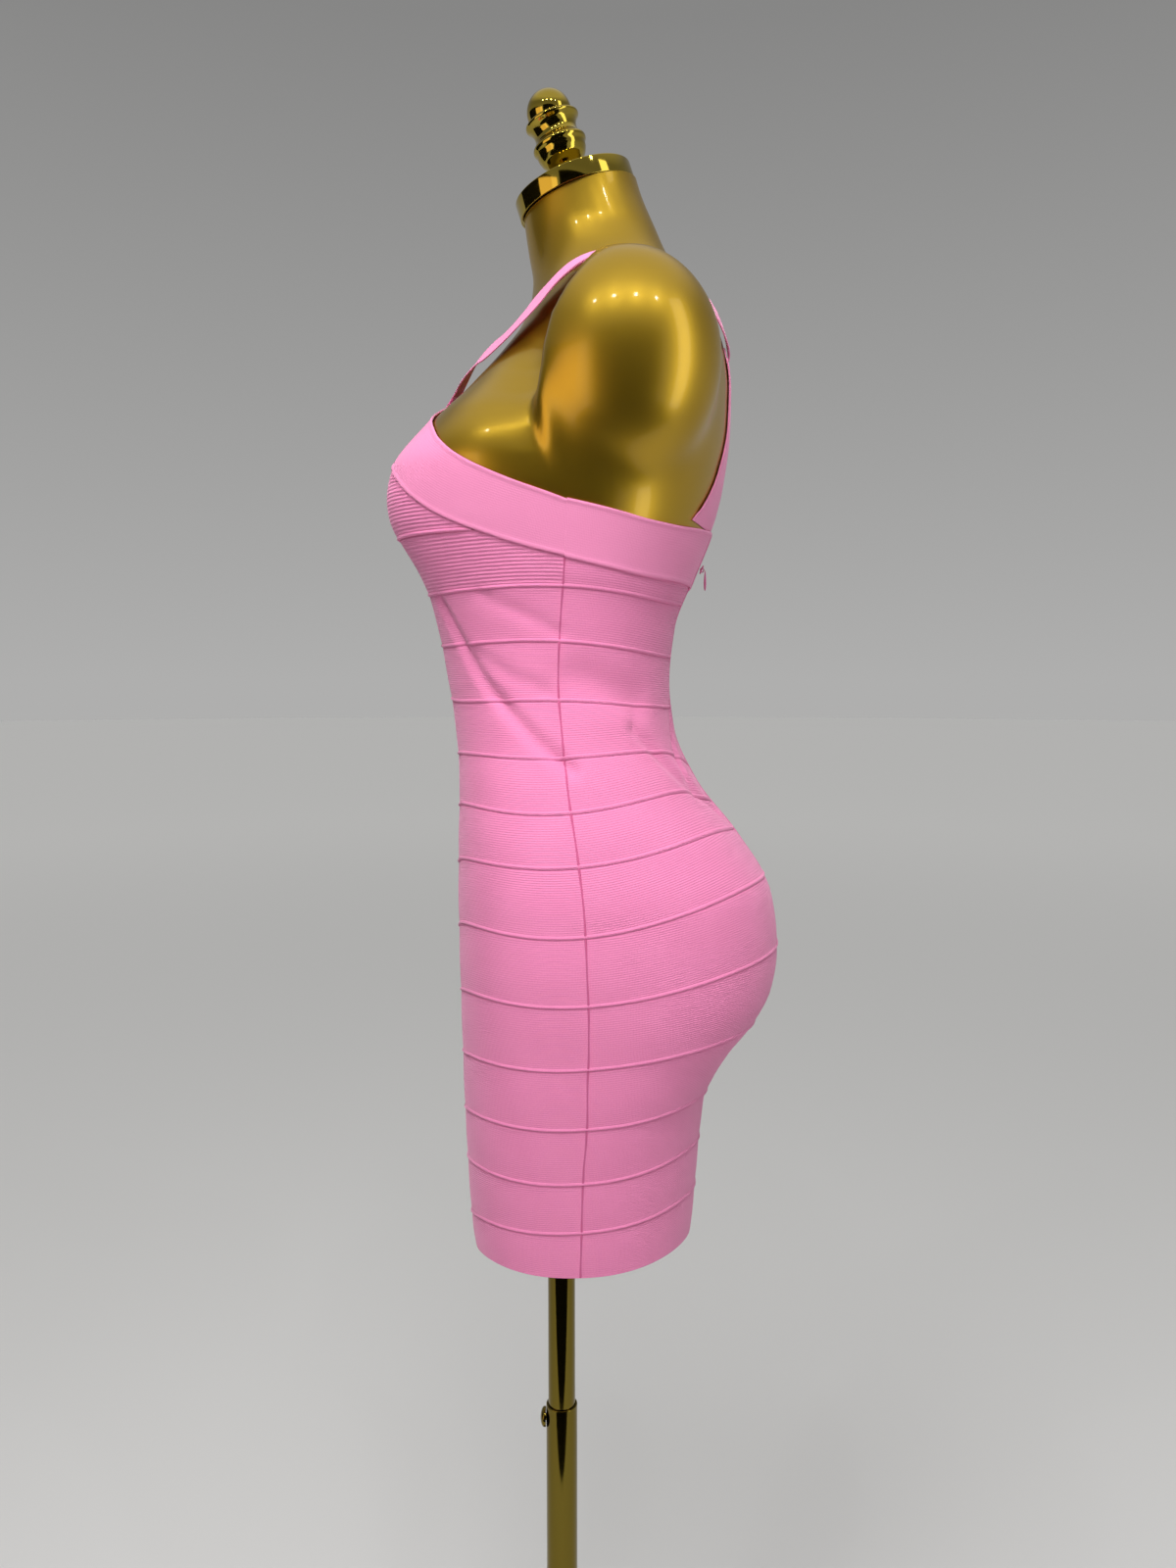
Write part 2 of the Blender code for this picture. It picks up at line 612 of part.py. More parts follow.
def tube(name, radius, bottom, top, mat="gold_mirror", steps=32):
    """An open round tube, turned from its wall."""
    inner = radius - TUBE_WALL
    bm = bmesh.new()
    corners = [bm.verts.new((r, 0.0, z)) for r, z in ((inner, top), (radius, top), (radius, bottom), (inner, bottom))]
    for k in range(4):
        bm.edges.new((corners[k], corners[(k + 1) % 4]))
    obj = mesh_object(name, bm, mat)
    screw = obj.modifiers.new("turn", "SCREW")
    screw.steps = screw.render_steps = steps
    screw.use_merge_vertices = True
    screw.merge_threshold = 0.0001
    return obj


def stand():
    """Base, hub, the two tubes and the thumb screw that grips the inner one."""
    bevel = 0.0020
    turned("base", ((0.0, BASE_HEIGHT), (BASE_RADIUS - bevel, BASE_HEIGHT), (BASE_RADIUS, BASE_HEIGHT - bevel),
                    (BASE_RADIUS, 0.0), (0.0, 0.0)), "gold_mirror", 64)
    low, high = BASE_HEIGHT + RUNNING_GAP, BASE_HEIGHT + HUB_HEIGHT
    inner = OUTER_TUBE_RADIUS + RUNNING_GAP
    bm = bmesh.new()
    ring = [bm.verts.new((r, 0.0, z)) for r, z in ((inner, high), (HUB_RADIUS * 0.62, high), (HUB_RADIUS, low + 0.003),
                                                   (HUB_RADIUS, low), (inner, low))]
    for k in range(5):
        bm.edges.new((ring[k], ring[(k + 1) % 5]))
    hub = mesh_object("base_hub", bm, "gold_mirror")
    screw = hub.modifiers.new("turn", "SCREW")
    screw.steps = screw.render_steps = 32
    screw.use_merge_vertices = True
    screw.merge_threshold = 0.0001
    outer = tube("outer_tube", OUTER_TUBE_RADIUS, low, OUTER_TUBE_TOP)
    tube("mast_tube", MAST_RADIUS, MAST_BOTTOM, MAST_TOP)
    lie_down = Matrix.Rotation(math.pi / 2, 4, "X")
    hole = cutter_cylinder("screw_cutter", SCREW_RADIUS + RUNNING_GAP, 0.02,
                           Vector((0, -OUTER_TUBE_RADIUS, SCREW_HEIGHT)), lie_down)
    drill = outer.modifiers.new("hole", "BOOLEAN")
    drill.operation = "DIFFERENCE"
    drill.object = hole
    thumb_screw(lie_down)


def thumb_screw(lie_down):
    """The screw's domed head and its shank, whose tip nearly meets the mast."""
    tip = MAST_RADIUS + RUNNING_GAP
    under_head = OUTER_TUBE_RADIUS + RUNNING_GAP
    head = under_head + SCREW_HEAD_DEPTH
    dome = [(SCREW_HEAD_RADIUS * math.sin(a), under_head + 0.0015 + (SCREW_HEAD_DEPTH - 0.0015) * math.cos(a))
            for a in np.linspace(0, math.pi / 2, 6)]
    dome[0] = (0.0, head)
    rows = [*dome, (SCREW_HEAD_RADIUS, under_head), (SCREW_RADIUS, under_head), (SCREW_RADIUS, tip), (0.0, tip)]
    turned("clamp_screw", rows, "gold_mirror", 20, Matrix.Translation((0, 0, SCREW_HEIGHT)) @ lie_down)


def main():
    """Clears the scene and builds everything."""
    for obj in list(bpy.data.objects):
        bpy.data.objects.remove(obj)
    for name in (COLLECTION, "cutters"):
        bpy.context.scene.collection.children.link(bpy.data.collections.new(name))
    for name, (colour, roughness, metallic) in dress_materials().items():
        material(name, colour, roughness, metallic)
    stand()
    torso()
    cap_and_finial()
    edge = front_bands()
    front_strips(edge)
    back_strips()
    racer_back()
    print("zip tab hinge", tuple(round(v, 5) for v in zip_pieces()))


main()
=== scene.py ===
# %% [markdown]
# # A banded dress on a gold form
#
# This lesson dresses a gold, limbless form in a short knitted dress. The solid
# model comes first and fixes every size; each step below puts a finished piece
# where a plain solid stands, and says which part of the model it moves with.

# %% Load the solid model
import math

import bpy
import numpy as np
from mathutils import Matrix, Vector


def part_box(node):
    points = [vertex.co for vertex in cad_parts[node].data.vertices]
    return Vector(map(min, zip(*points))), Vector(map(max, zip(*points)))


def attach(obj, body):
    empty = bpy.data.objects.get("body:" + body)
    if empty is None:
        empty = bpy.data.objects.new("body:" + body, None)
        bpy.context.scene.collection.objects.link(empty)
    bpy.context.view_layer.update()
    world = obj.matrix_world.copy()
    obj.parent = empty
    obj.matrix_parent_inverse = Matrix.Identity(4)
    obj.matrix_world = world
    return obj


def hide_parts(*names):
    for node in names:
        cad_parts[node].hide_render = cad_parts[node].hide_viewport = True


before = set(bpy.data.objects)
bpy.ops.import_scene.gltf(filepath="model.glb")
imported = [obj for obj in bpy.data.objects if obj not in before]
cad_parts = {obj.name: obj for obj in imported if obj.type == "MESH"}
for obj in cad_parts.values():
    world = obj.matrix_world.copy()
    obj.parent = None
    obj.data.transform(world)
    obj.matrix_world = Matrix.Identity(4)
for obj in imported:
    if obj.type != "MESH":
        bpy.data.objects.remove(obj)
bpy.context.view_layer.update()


def deselect_all():
    """Leaves edit mode and selects nothing."""
    if bpy.context.object and bpy.context.object.mode != "OBJECT":
        bpy.ops.object.mode_set(mode="OBJECT")
    bpy.ops.object.select_all(action="DESELECT")


# %% [markdown]
# ## The camera
#
# The dress is seen from its left side by someone standing about a metre away,
# with the eye near bust height and tipped a little downwards. A short lens
# takes in everything from the finial to the middle of the pole.

# %% The camera
EYE = (1.0, 0.0234, 1.24)
EYE_TIP = math.radians(5)       # how far the camera looks down
deselect_all()
bpy.ops.object.camera_add(location=EYE, rotation=(math.pi / 2 - EYE_TIP, 0, math.pi / 2))
camera = bpy.context.object
camera.data.lens = 27.05
camera.data.sensor_width = 36
camera.data.clip_start = 0.01
bpy.context.scene.camera = camera
print("camera looks from", EYE)

# %% [markdown]
# ## Floor and light
#
# Polished gold is a mirror, so its looks come from what stands round it. One
# broad key lamp lights the cloth and stays out of the reflections. A tall strip
# and a warm panel do the reverse: they show only in reflections, as soft
# stripes. Small ceiling spots add sparkle, and black cards that the camera
# doesn't see give the metal its dark side. The floor is wide and grows paler
# with distance. The sky is grey at the horizon, darker part of the way up and
# pale overhead.

# %% The floor
FLOOR_RADIUS = 40.0
FLOOR_NEAR, FLOOR_FAR = 1.0, 10.0       # distances between which the floor grows paler
deselect_all()
bpy.ops.mesh.primitive_circle_add(vertices=96, radius=FLOOR_RADIUS, fill_type="NGON")
floor = bpy.context.object
floor.name = "floor"
floor_paint = bpy.data.materials.new("pale floor")
floor_paint.use_nodes = True
floor_shader = floor_paint.node_tree.nodes["Principled BSDF"]
floor_nodes, floor_links = floor_paint.node_tree.nodes, floor_paint.node_tree.links
floor_place = floor_nodes.new("ShaderNodeTexCoord")
floor_reach = floor_nodes.new("ShaderNodeVectorMath")
floor_reach.operation = "LENGTH"
floor_shade = floor_nodes.new("ShaderNodeValToRGB")
near_floor, far_floor = floor_shade.color_ramp.elements
near_floor.position, near_floor.color = FLOOR_NEAR / FLOOR_FAR, (0.68, 0.68, 0.675, 1)
floor_shade.color_ramp.interpolation = "EASE"
far_floor.position, far_floor.color = 1.0, (0.90, 0.90, 0.89, 1)
floor_scale = floor_nodes.new("ShaderNodeMath")
floor_scale.operation, floor_scale.inputs[1].default_value = "MULTIPLY", 1 / FLOOR_FAR
floor_links.new(floor_place.outputs["Object"], floor_reach.inputs[0])
floor_links.new(floor_reach.outputs["Value"], floor_scale.inputs[0])
floor_links.new(floor_scale.outputs[0], floor_shade.inputs["Fac"])
floor_links.new(floor_shade.outputs["Color"], floor_shader.inputs["Base Color"])
floor_shader.inputs["Roughness"].default_value = 0.85
floor_shader.inputs["Specular IOR Level"].default_value = 0.2
floor.data.materials.append(floor_paint)
print("a floor", 2 * FLOOR_RADIUS, "m across")

# %% Lamps
# place, point it looks at, width, height, strength in watts, colour, and what it lights
LAMPS = (
    ((1.5, -0.35, 3.1), (0, 0, 1.2), 1.7, 1.7, 72, (1.0, 0.985, 0.97), "cloth"),
    ((1.15, 1.85, 1.75), (0, 0, 1.45), 0.60, 3.0, 15, (1.0, 0.99, 0.90), "gold"),
    ((1.45, -1.8, 1.25), (0, 0, 1.38), 1.5, 1.7, 13, (1.0, 0.72, 0.46), "gold"),
)
for place, aim, width, height, power, tint, lights in LAMPS:
    reach = np.subtract(aim, place)
    turn = (math.acos(-reach[2] / np.linalg.norm(reach)), 0, math.atan2(-reach[0], reach[1]))
    deselect_all()
    bpy.ops.object.light_add(type="AREA", location=place, rotation=turn)
    lamp = bpy.context.object.data
    lamp.shape, lamp.size, lamp.size_y, lamp.energy, lamp.color = "RECTANGLE", width, height, power, tint
    bpy.context.object.visible_glossy = lights == "gold"
    bpy.context.object.visible_diffuse = lights == "cloth"
print(len(LAMPS), "lamps")

# %% Dark cards and ceiling spots
# cards round the viewer, reflected as the dark side of the gold: name, middle,
# turn, size along the card's own X and Y
CARDS = (
    ("card_behind_viewer", (2.5, 0.1, 1.3), (0, math.pi / 2, 0), 2.5, 3.0),
    ("card_beside_front", (0.6, -2.3, 1.2), (math.pi / 2, 0, 0), 3.6, 2.3),
    ("card_underfoot", (1.75, 0.0, 0.01), (0, 0, 0), 1.6, 4.0),
)
black_card = bpy.data.materials.new("black card")
black_card.use_nodes = True
card_shader = black_card.node_tree.nodes["Principled BSDF"]
card_shader.inputs["Base Color"].default_value = (0.012, 0.012, 0.012, 1)
card_shader.inputs["Specular IOR Level"].default_value = 0
for name, middle, turn, wide, tall in CARDS:
    deselect_all()
    bpy.ops.mesh.primitive_plane_add(size=1, location=middle, rotation=turn)
    card = bpy.context.object
    card.name, card.scale = name, (wide, tall, 1)
    card.visible_camera = card.visible_shadow = False
    card.visible_diffuse = name == "card_beside_front"      # this one shades the cloth as well
    card.data.materials.append(black_card)

# a row of small ceiling spots that sparkle in the lacquer and the plating
SPOTS = ((1.3, -0.9), (1.4, -0.3), (1.4, 0.3), (1.3, 0.9))
SPOT_HEIGHT = 2.9
SPOT_TIP = math.radians(35)
for x, y in SPOTS:
    deselect_all()
    bpy.ops.object.light_add(type="AREA", location=(x, y, SPOT_HEIGHT), rotation=(0, SPOT_TIP, 0))
    spot = bpy.context.object.data
    spot.shape, spot.size, spot.energy = "DISK", 0.10, 2.2
print(len(CARDS), "cards and", len(SPOTS), "spots")

# %% The sky
sky = bpy.data.worlds.new("studio")
bpy.context.scene.world = sky
sky.use_nodes = True
sky_nodes, sky_links = sky.node_tree.nodes, sky.node_tree.links
direction = sky_nodes.new("ShaderNodeTexCoord")
split = sky_nodes.new("ShaderNodeSeparateXYZ")
shade = sky_nodes.new("ShaderNodeValToRGB")
# how far up a direction points, 0 for level and 1 for straight up, and its brightness
SKY = ((0.0, 0.43), (0.47, 0.24), (0.60, 0.24), (0.82, 0.74))
for _ in SKY[2:]:
    shade.color_ramp.elements.new(0.5)
for stop, (height, grey) in zip(shade.color_ramp.elements, SKY):
    stop.position, stop.color = height, (grey, grey * 0.995, grey * 0.985, 1)
sky_links.new(direction.outputs["Generated"], split.inputs[0])
sky_links.new(split.outputs["Z"], shade.inputs["Fac"])
sky_links.new(shade.outputs["Color"], sky_nodes["Background"].inputs["Color"])
sky_nodes["Background"].inputs["Strength"].default_value = 1.0
bpy.context.scene.view_settings.view_transform = "Standard"
print("a sky of", len(SKY), "greys")

# %% [markdown]
# ## Knitted cloth
#
# Bandage cloth is a thick, close knit with ribs that run along each band. Every
# cloth piece carries an attribute called knit_place, which says how far along
# and how far up the band each point lies, in metres, and how coarse its ribs
# are. The material turns that into ribs and small loops, so they follow the
# cloth round the body. It paints shade into the ribs' grooves, and at each
# band's foot it darkens a fine line: the stitching, with the seam's shadow
# painted in.

# %% Helpers for materials
def start_material(name, colour, roughness, metallic=0.0):
    """A new material and its shader, with its uniform values on the shader."""
    mat = bpy.data.materials.new(name)
    mat.use_nodes = True
    shader = mat.node_tree.nodes["Principled BSDF"]
    shader.inputs["Base Color"].default_value = (*colour, 1)
    shader.inputs["Roughness"].default_value = roughness
    shader.inputs["Metallic"].default_value = metallic
    return mat, shader


def math_node(mat, operation, first, second=None):
    """A Math node of two inputs, each a socket or a number."""
    node = mat.node_tree.nodes.new("ShaderNodeMath")
    node.operation = operation
    for slot, value in zip(node.inputs, (first, second)):
        if isinstance(value, (int, float)):
            slot.default_value = value
        elif value is not None:
            mat.node_tree.links.new(value, slot)
    return node.outputs[0]


def mix_colours(mat, share, low, high):
    """A colour between two, by a share that may vary over the surface."""
    node = mat.node_tree.nodes.new("ShaderNodeMix")
    node.data_type = "RGBA"
    mat.node_tree.links.new(share, node.inputs["Factor"])
    node.inputs["A"].default_value = (*low, 1)
    node.inputs["B"].default_value = (*high, 1)
    return node.outputs["Result"]


def noise(mat, vector, scale, detail=2.0):
    """Noise of a scale on a vector socket."""
    node = mat.node_tree.nodes.new("ShaderNodeTexNoise")
    node.inputs["Scale"].default_value = scale
    node.inputs["Detail"].default_value = detail
    mat.node_tree.links.new(vector, node.inputs["Vector"])
    return node.outputs["Fac"]


def bump(mat, shader, height, depth, strength):
    """Small relief on the shader's normal, with its depth in metres."""
    node = mat.node_tree.nodes.new("ShaderNodeBump")
    node.inputs["Distance"].default_value = depth
    node.inputs["Strength"].default_value = strength
    mat.node_tree.links.new(height, node.inputs["Height"])
    mat.node_tree.links.new(node.outputs["Normal"], shader.inputs["Normal"])


# %% The two cloths
COARSE_RIB = 0.0027     # pitch of the ribs over the bust
FINE_RIB = 0.0017       # pitch of the ribs elsewhere
LOOP = 0.0011           # pitch of the knit's loops along a rib
STITCH_AND_SHADOW_LINE = 0.0004    # height of the dark line at a band's foot: stitching, with the seam's shadow painted in


def knit_material(name, colour, shade_and_mottle_colour, rib_depth, rib_share):
    """Ribbed knit: ribs along each band, loops across them, a soft sheen, and painted groove and seam
    shade.
    """
    mat, shader = start_material(name, colour, 0.82)
    shader.inputs["Sheen Weight"].default_value = 0.30
    shader.inputs["Sheen Roughness"].default_value = 0.45
    shader.inputs["Sheen Tint"].default_value = (1.0, 0.72, 0.86, 1)
    shader.inputs["Specular IOR Level"].default_value = 0.25
    place = mat.node_tree.nodes.new("ShaderNodeAttribute")
    place.attribute_name = "knit_place"
    parts = mat.node_tree.nodes.new("ShaderNodeSeparateXYZ")
    mat.node_tree.links.new(place.outputs["Vector"], parts.inputs[0])
    along, up, coarse = parts.outputs
    fine = math_node(mat, "SINE", math_node(mat, "MULTIPLY", up, math.tau / FINE_RIB))
    wide = math_node(mat, "SINE", math_node(mat, "MULTIPLY", up, math.tau / COARSE_RIB))
    plain_share = math_node(mat, "SUBTRACT", 1.0, coarse)
    fine_share = math_node(mat, "MULTIPLY", math_node(mat, "MULTIPLY", fine, plain_share), 0.45)
    ribs = math_node(mat, "ADD", fine_share, math_node(mat, "MULTIPLY", wide, coarse))
    loops = math_node(mat, "SINE", math_node(mat, "MULTIPLY", along, math.tau / LOOP))
    yarn = noise(mat, place.outputs["Vector"], 900.0)
    relief = math_node(mat, "ADD", math_node(mat, "MULTIPLY", ribs, rib_share),
                       math_node(mat, "ADD", math_node(mat, "MULTIPLY", loops, 0.12),
                                 math_node(mat, "MULTIPLY", yarn, 0.8)))
    bump(mat, shader, relief, rib_depth, 0.8)
    patch = noise(mat, place.outputs["Vector"], 22.0, 4.0)
    mottle = math_node(mat, "ADD", math_node(mat, "MULTIPLY", yarn, 0.5),
                       math_node(mat, "MULTIPLY", patch, 0.35))
    # the rib grooves get painted shade here; the yarn and patch noise mottle the colour at random
    groove_shade_and_mottle = math_node(mat, "ADD", math_node(mat, "MULTIPLY", ribs, 0.20 * rib_share), mottle)
    clamp = mat.node_tree.nodes.new("ShaderNodeClamp")
    mat.node_tree.links.new(groove_shade_and_mottle, clamp.inputs["Value"])
    # a fine line at the foot of each band is painted dark: the stitching, with the seam's shadow painted in
    shade_and_mottle_share = math_node(mat, "MULTIPLY", clamp.outputs[0], math_node(mat, "GREATER_THAN", up, STITCH_AND_SHADOW_LINE))
    mat.node_tree.links.new(mix_colours(mat, shade_and_mottle_share, shade_and_mottle_colour, colour), shader.inputs["Base Color"])
    return mat


# each knit: its colour, then the darker colour of its painted groove shade, seam shadow and mottling
knit_cloth = knit_material("ribbed knit", (0.92, 0.305, 0.545), (0.69, 0.178, 0.370), 0.00028, 1.0)
band_cloth = knit_material("smooth knit", (0.92, 0.320, 0.555), (0.80, 0.235, 0.45), 0.00015, 0.35)
print("cloths:", knit_cloth.name, "and", band_cloth.name)

# %% [markdown]
# ## Gold
#
# The form is sprayed with a satin gold lacquer that holds fine metal flakes.
# The cap and the finial are plated and polished, so they are a plain mirror
# with faint smears that only change how sharp it is. The stand and its screw
# have the same plating, with a darker colour that paints in the dark
# reflections they show.

# %% Golds, thread and zip enamel
def gold_lacquer():
    """Satin metallic paint with flakes and faint clouding."""
    mat, shader = start_material("gold lacquer", (0.40, 0.26, 0.035), 0.36, 0.92)
    shader.inputs["Coat Weight"].default_value = 0.30
    shader.inputs["Coat Roughness"].default_value = 0.07
    coords = mat.node_tree.nodes.new("ShaderNodeTexCoord").outputs["Object"]
    clouds = noise(mat, coords, 7.0, 3.0)
    mat.node_tree.links.new(mix_colours(mat, clouds, (0.43, 0.265, 0.016), (0.52, 0.33, 0.026)),
                            shader.inputs["Base Color"])
    flakes = noise(mat, coords, 2600.0, 1.0)
    mat.node_tree.links.new(math_node(mat, "ADD", math_node(mat, "MULTIPLY", flakes, 0.12), 0.29),
                            shader.inputs["Roughness"])
    bump(mat, shader, flakes, 0.00004, 0.35)
    return mat


def polished_gold(name, colour):
    """Mirror plating with faint smears."""
    mat, shader = start_material(name, colour, 0.08, 1.0)
    coords = mat.node_tree.nodes.new("ShaderNodeTexCoord").outputs["Object"]
    smears = noise(mat, coords, 35.0, 4.0)
    mat.node_tree.links.new(math_node(mat, "ADD", math_node(mat, "MULTIPLY", smears, 0.08), 0.03),
                            shader.inputs["Roughness"])
    return mat


def pink_enamel():
    """Baked enamel on the zip's slider and tab, a little uneven."""
    mat, shader = start_material("pink enamel", (0.62, 0.13, 0.30), 0.3)
    coords = mat.node_tree.nodes.new("ShaderNodeTexCoord").outputs["Object"]
    wear = noise(mat, coords, 400.0, 3.0)
    mat.node_tree.links.new(mix_colours(mat, wear, (0.52, 0.10, 0.25), (0.70, 0.17, 0.36)),
                            shader.inputs["Base Color"])
    shader.inputs["Coat Weight"].default_value = 0.4
    return mat


lacquer, enamel = gold_lacquer(), pink_enamel()
mirror_gold = polished_gold("polished gold", (0.42, 0.31, 0.045))
# the same plating with a darker colour, which paints in the dark reflections of the stand and screw
shade_darkened_gold = polished_gold("polished gold with painted dark reflections", (0.17, 0.125, 0.020))
# the thread and the zip tape are knits too, and get the same painted groove shade
thread = knit_material("seam thread", (0.74, 0.175, 0.37), (0.56, 0.105, 0.25), 0.0002, 0.3)
zip_tape = knit_material("zip tape", (0.84, 0.245, 0.46), (0.66, 0.160, 0.34), 0.0002, 0.3)
print("metals:", lacquer.name, "+", mirror_gold.name, "+", shade_darkened_gold.name)

# %% [markdown]
# ## The shape everything follows
#
# The form is one smooth skin. Level sections give its trunk, two soft swellings
# give the bust, and an egg is melted into each side for a shoulder. A function
# tells how far any point is outside that skin, so cloth can be laid at an exact
# height above it and never cuts into it.

# %% Sections of the form
# height, half width, side line's y, front y, back y, front and back squareness
SECTIONS = (
    (0.720, 0.116, 0.016, -0.066, 0.106, 2.4, 2.3),
    (0.800, 0.127, 0.018, -0.076, 0.113, 2.4, 2.3),
    (0.870, 0.137, 0.020, -0.079, 0.1185, 2.5, 2.3),
    (0.895, 0.141, 0.022, -0.080, 0.1215, 2.5, 2.3),
    (0.920, 0.145, 0.023, -0.0805, 0.1310, 2.5, 2.4),
    (0.942, 0.148, 0.023, -0.081, 0.1450, 2.5, 2.4),
    (0.965, 0.151, 0.024, -0.0815, 0.1635, 2.5, 2.5),
    (0.990, 0.154, 0.024, -0.082, 0.1760, 2.5, 2.5),
    (1.020, 0.156, 0.023, -0.0825, 0.1805, 2.5, 2.5),
    (1.065, 0.155, 0.021, -0.0830, 0.1750, 2.5, 2.5),
    (1.110, 0.148, 0.016, -0.0825, 0.1490, 2.5, 2.4),
    (1.155, 0.135, 0.009, -0.0820, 0.1140, 2.4, 2.3),
    (1.200, 0.121, 0.004, -0.0850, 0.0940, 2.3, 2.2),
    (1.240, 0.115, 0.001, -0.0910, 0.0895, 2.3, 2.2),
    (1.285, 0.118, 0.003, -0.0990, 0.0940, 2.4, 2.2),
    (1.325, 0.126, 0.006, -0.1070, 0.1090, 2.6, 2.2),
    (1.365, 0.135, 0.008, -0.1150, 0.1245, 2.9, 2.2),
    (1.400, 0.142, 0.010, -0.1160, 0.1330, 2.9, 2.2),
    (1.440, 0.146, 0.016, -0.1000, 0.1375, 2.4, 2.3),
    (1.470, 0.144, 0.024, -0.0770, 0.1380, 1.9, 2.3),
    (1.500, 0.137, 0.032, -0.0510, 0.1340, 1.7, 2.3),
    (1.525, 0.120, 0.037, -0.0330, 0.1270, 1.6, 2.1),
    (1.545, 0.095, 0.039, -0.0240, 0.1170, 1.6, 1.9),
    (1.565, 0.068, 0.038, -0.0215, 0.1030, 1.8, 1.8),
    (1.585, 0.055, 0.034, -0.0245, 0.0885, 1.9, 1.9),
    (1.605, 0.0490, 0.028, -0.0275, 0.0790, 2.0, 2.0),
    (1.635, 0.0470, 0.018, -0.0310, 0.0660, 2.0, 2.0),
    (1.680, 0.0475, 0.010, -0.0370, 0.0540, 2.0, 2.0),
)

# bust: how far each side stands forward, where, and how wide and tall it is
BUST_RISE = 0.022
BUST_X = 0.075
BUST_Z = 1.376
BUST_WIDE = 0.052
BUST_TALL = 0.050

# shoulder: centre, half sizes, and how softly it joins the trunk
SHOULDER_CENTRE = (0.116, 0.052, 1.474)
SHOULDER_SIZE = (0.053, 0.068, 0.080)
SHOULDER_BLEND = 0.007

# %% The skin of the form
def unit(vectors):
    """Directions of length one."""
    return vectors / np.linalg.norm(vectors, axis=-1, keepdims=True)


def smooth_column(column, heights):
    """One column of SECTIONS at any height, with no overshoot between its rows."""
    rows = np.array(SECTIONS)
    z, v = rows[:, 0], rows[:, column]
    step = np.diff(z)
    slope = np.diff(v) / step
    grad = np.zeros_like(v)
    same_way = slope[1:] * slope[:-1] > 0
    w1 = 2 * step[1:] + step[:-1]
    w2 = step[1:] + 2 * step[:-1]
    with np.errstate(divide="ignore", invalid="ignore"):
        mean = (w1 + w2) / (w1 / slope[:-1] + w2 / slope[1:])
    grad[1:-1] = np.where(same_way, mean, 0.0)
    grad[0], grad[-1] = slope[0], slope[-1]
    h = np.clip(heights, z[0], z[-1])
    i = np.clip(np.searchsorted(z, h) - 1, 0, len(step) - 1)
    t = (h - z[i]) / step[i]
    return ((1 + 2 * t) * (1 - t) ** 2 * v[i] + t * (1 - t) ** 2 * step[i] * grad[i]
            + t * t * (3 - 2 * t) * v[i + 1] + t * t * (t - 1) * step[i] * grad[i + 1])


def outside(points):
    """Signed distance, nearly, from the form's surface: positive outside it."""
    x, y, z = np.abs(points[..., 0]), points[..., 1], points[..., 2]
    wide, side, front, back, front_power, back_power = (smooth_column(c, z) for c in range(1, 7))
    bust = BUST_RISE * np.exp(-((x - BUST_X) / BUST_WIDE) ** 2 - ((z - BUST_Z) / BUST_TALL) ** 2)
    forward = y < side
    power = np.where(forward, front_power, back_power)
    reach = np.where(forward, side - front, back - side)
    along = np.where(forward, np.maximum(side - y - bust, 0.0), y - side) / reach
    trunk = ((x / wide) ** power + along ** power) ** (1 / power)
    trunk = (trunk - 1) * np.minimum(wide, (back - front) / 2)
    offset = [(p - c) / s for p, c, s in zip((x, y, z), SHOULDER_CENTRE, SHOULDER_SIZE)]
    shoulder = (np.sqrt(sum(o * o for o in offset)) - 1) * SHOULDER_SIZE[1]
    least = np.minimum(trunk, shoulder)
    spread = np.exp(-(trunk - least) / SHOULDER_BLEND) + np.exp(-(shoulder - least) / SHOULDER_BLEND)
    return least - SHOULDER_BLEND * np.log(spread)


def normals(points):
    """Outward directions of the form at points near its surface."""
    step = 0.0004
    grad = np.zeros_like(points)
    for axis in range(3):
        shift = np.zeros(3)
        shift[axis] = step
        grad[..., axis] = outside(points + shift) - outside(points - shift)
    return unit(grad)


def on_form(angle, height, lift=0.0):
    """Points off the form by a lift, seen from its middle at an angle.

    An angle of 0 is centre front, a right angle is the wearer's left side.
    """
    angle, height = np.broadcast_arrays(np.asarray(angle, float), np.asarray(height, float))
    side = smooth_column(2, height)
    near, far = np.full(angle.shape, 0.002), np.full(angle.shape, 0.26)
    for _ in range(34):
        middle = (near + far) / 2
        inside = outside(ray_points(angle, height, side, middle)) < 0
        near, far = np.where(inside, middle, near), np.where(inside, far, middle)
    points = ray_points(angle, height, side, near)
    return points + normals(points) * np.asarray(lift)[..., None]


def ray_points(angle, height, side, radius):
    """Points on level rays out of the form's middle."""
    return np.stack([radius * np.sin(angle), side - radius * np.cos(angle), height], axis=-1)


def settle(points, lift):
    """Moves points straight onto the surface that lies a lift off the form."""
    for _ in range(8):
        direction = normals(points)
        points = points - direction * outside(points)[..., None]
    return points + normals(points) * np.asarray(lift)[..., None]


print("waist is", round(float(on_form(math.pi / 2, 1.24)[0] * 2), 3), "m wide")

# %% [markdown]
# ## Seams and folds
#
# The bands are sewn in rows that dip at centre front and run up and down again
# over the hips. A seam shows as a thin ridge with a shadow under it. Where the
# waist hollows, the stretched cloth drags into a few soft slanting folds.

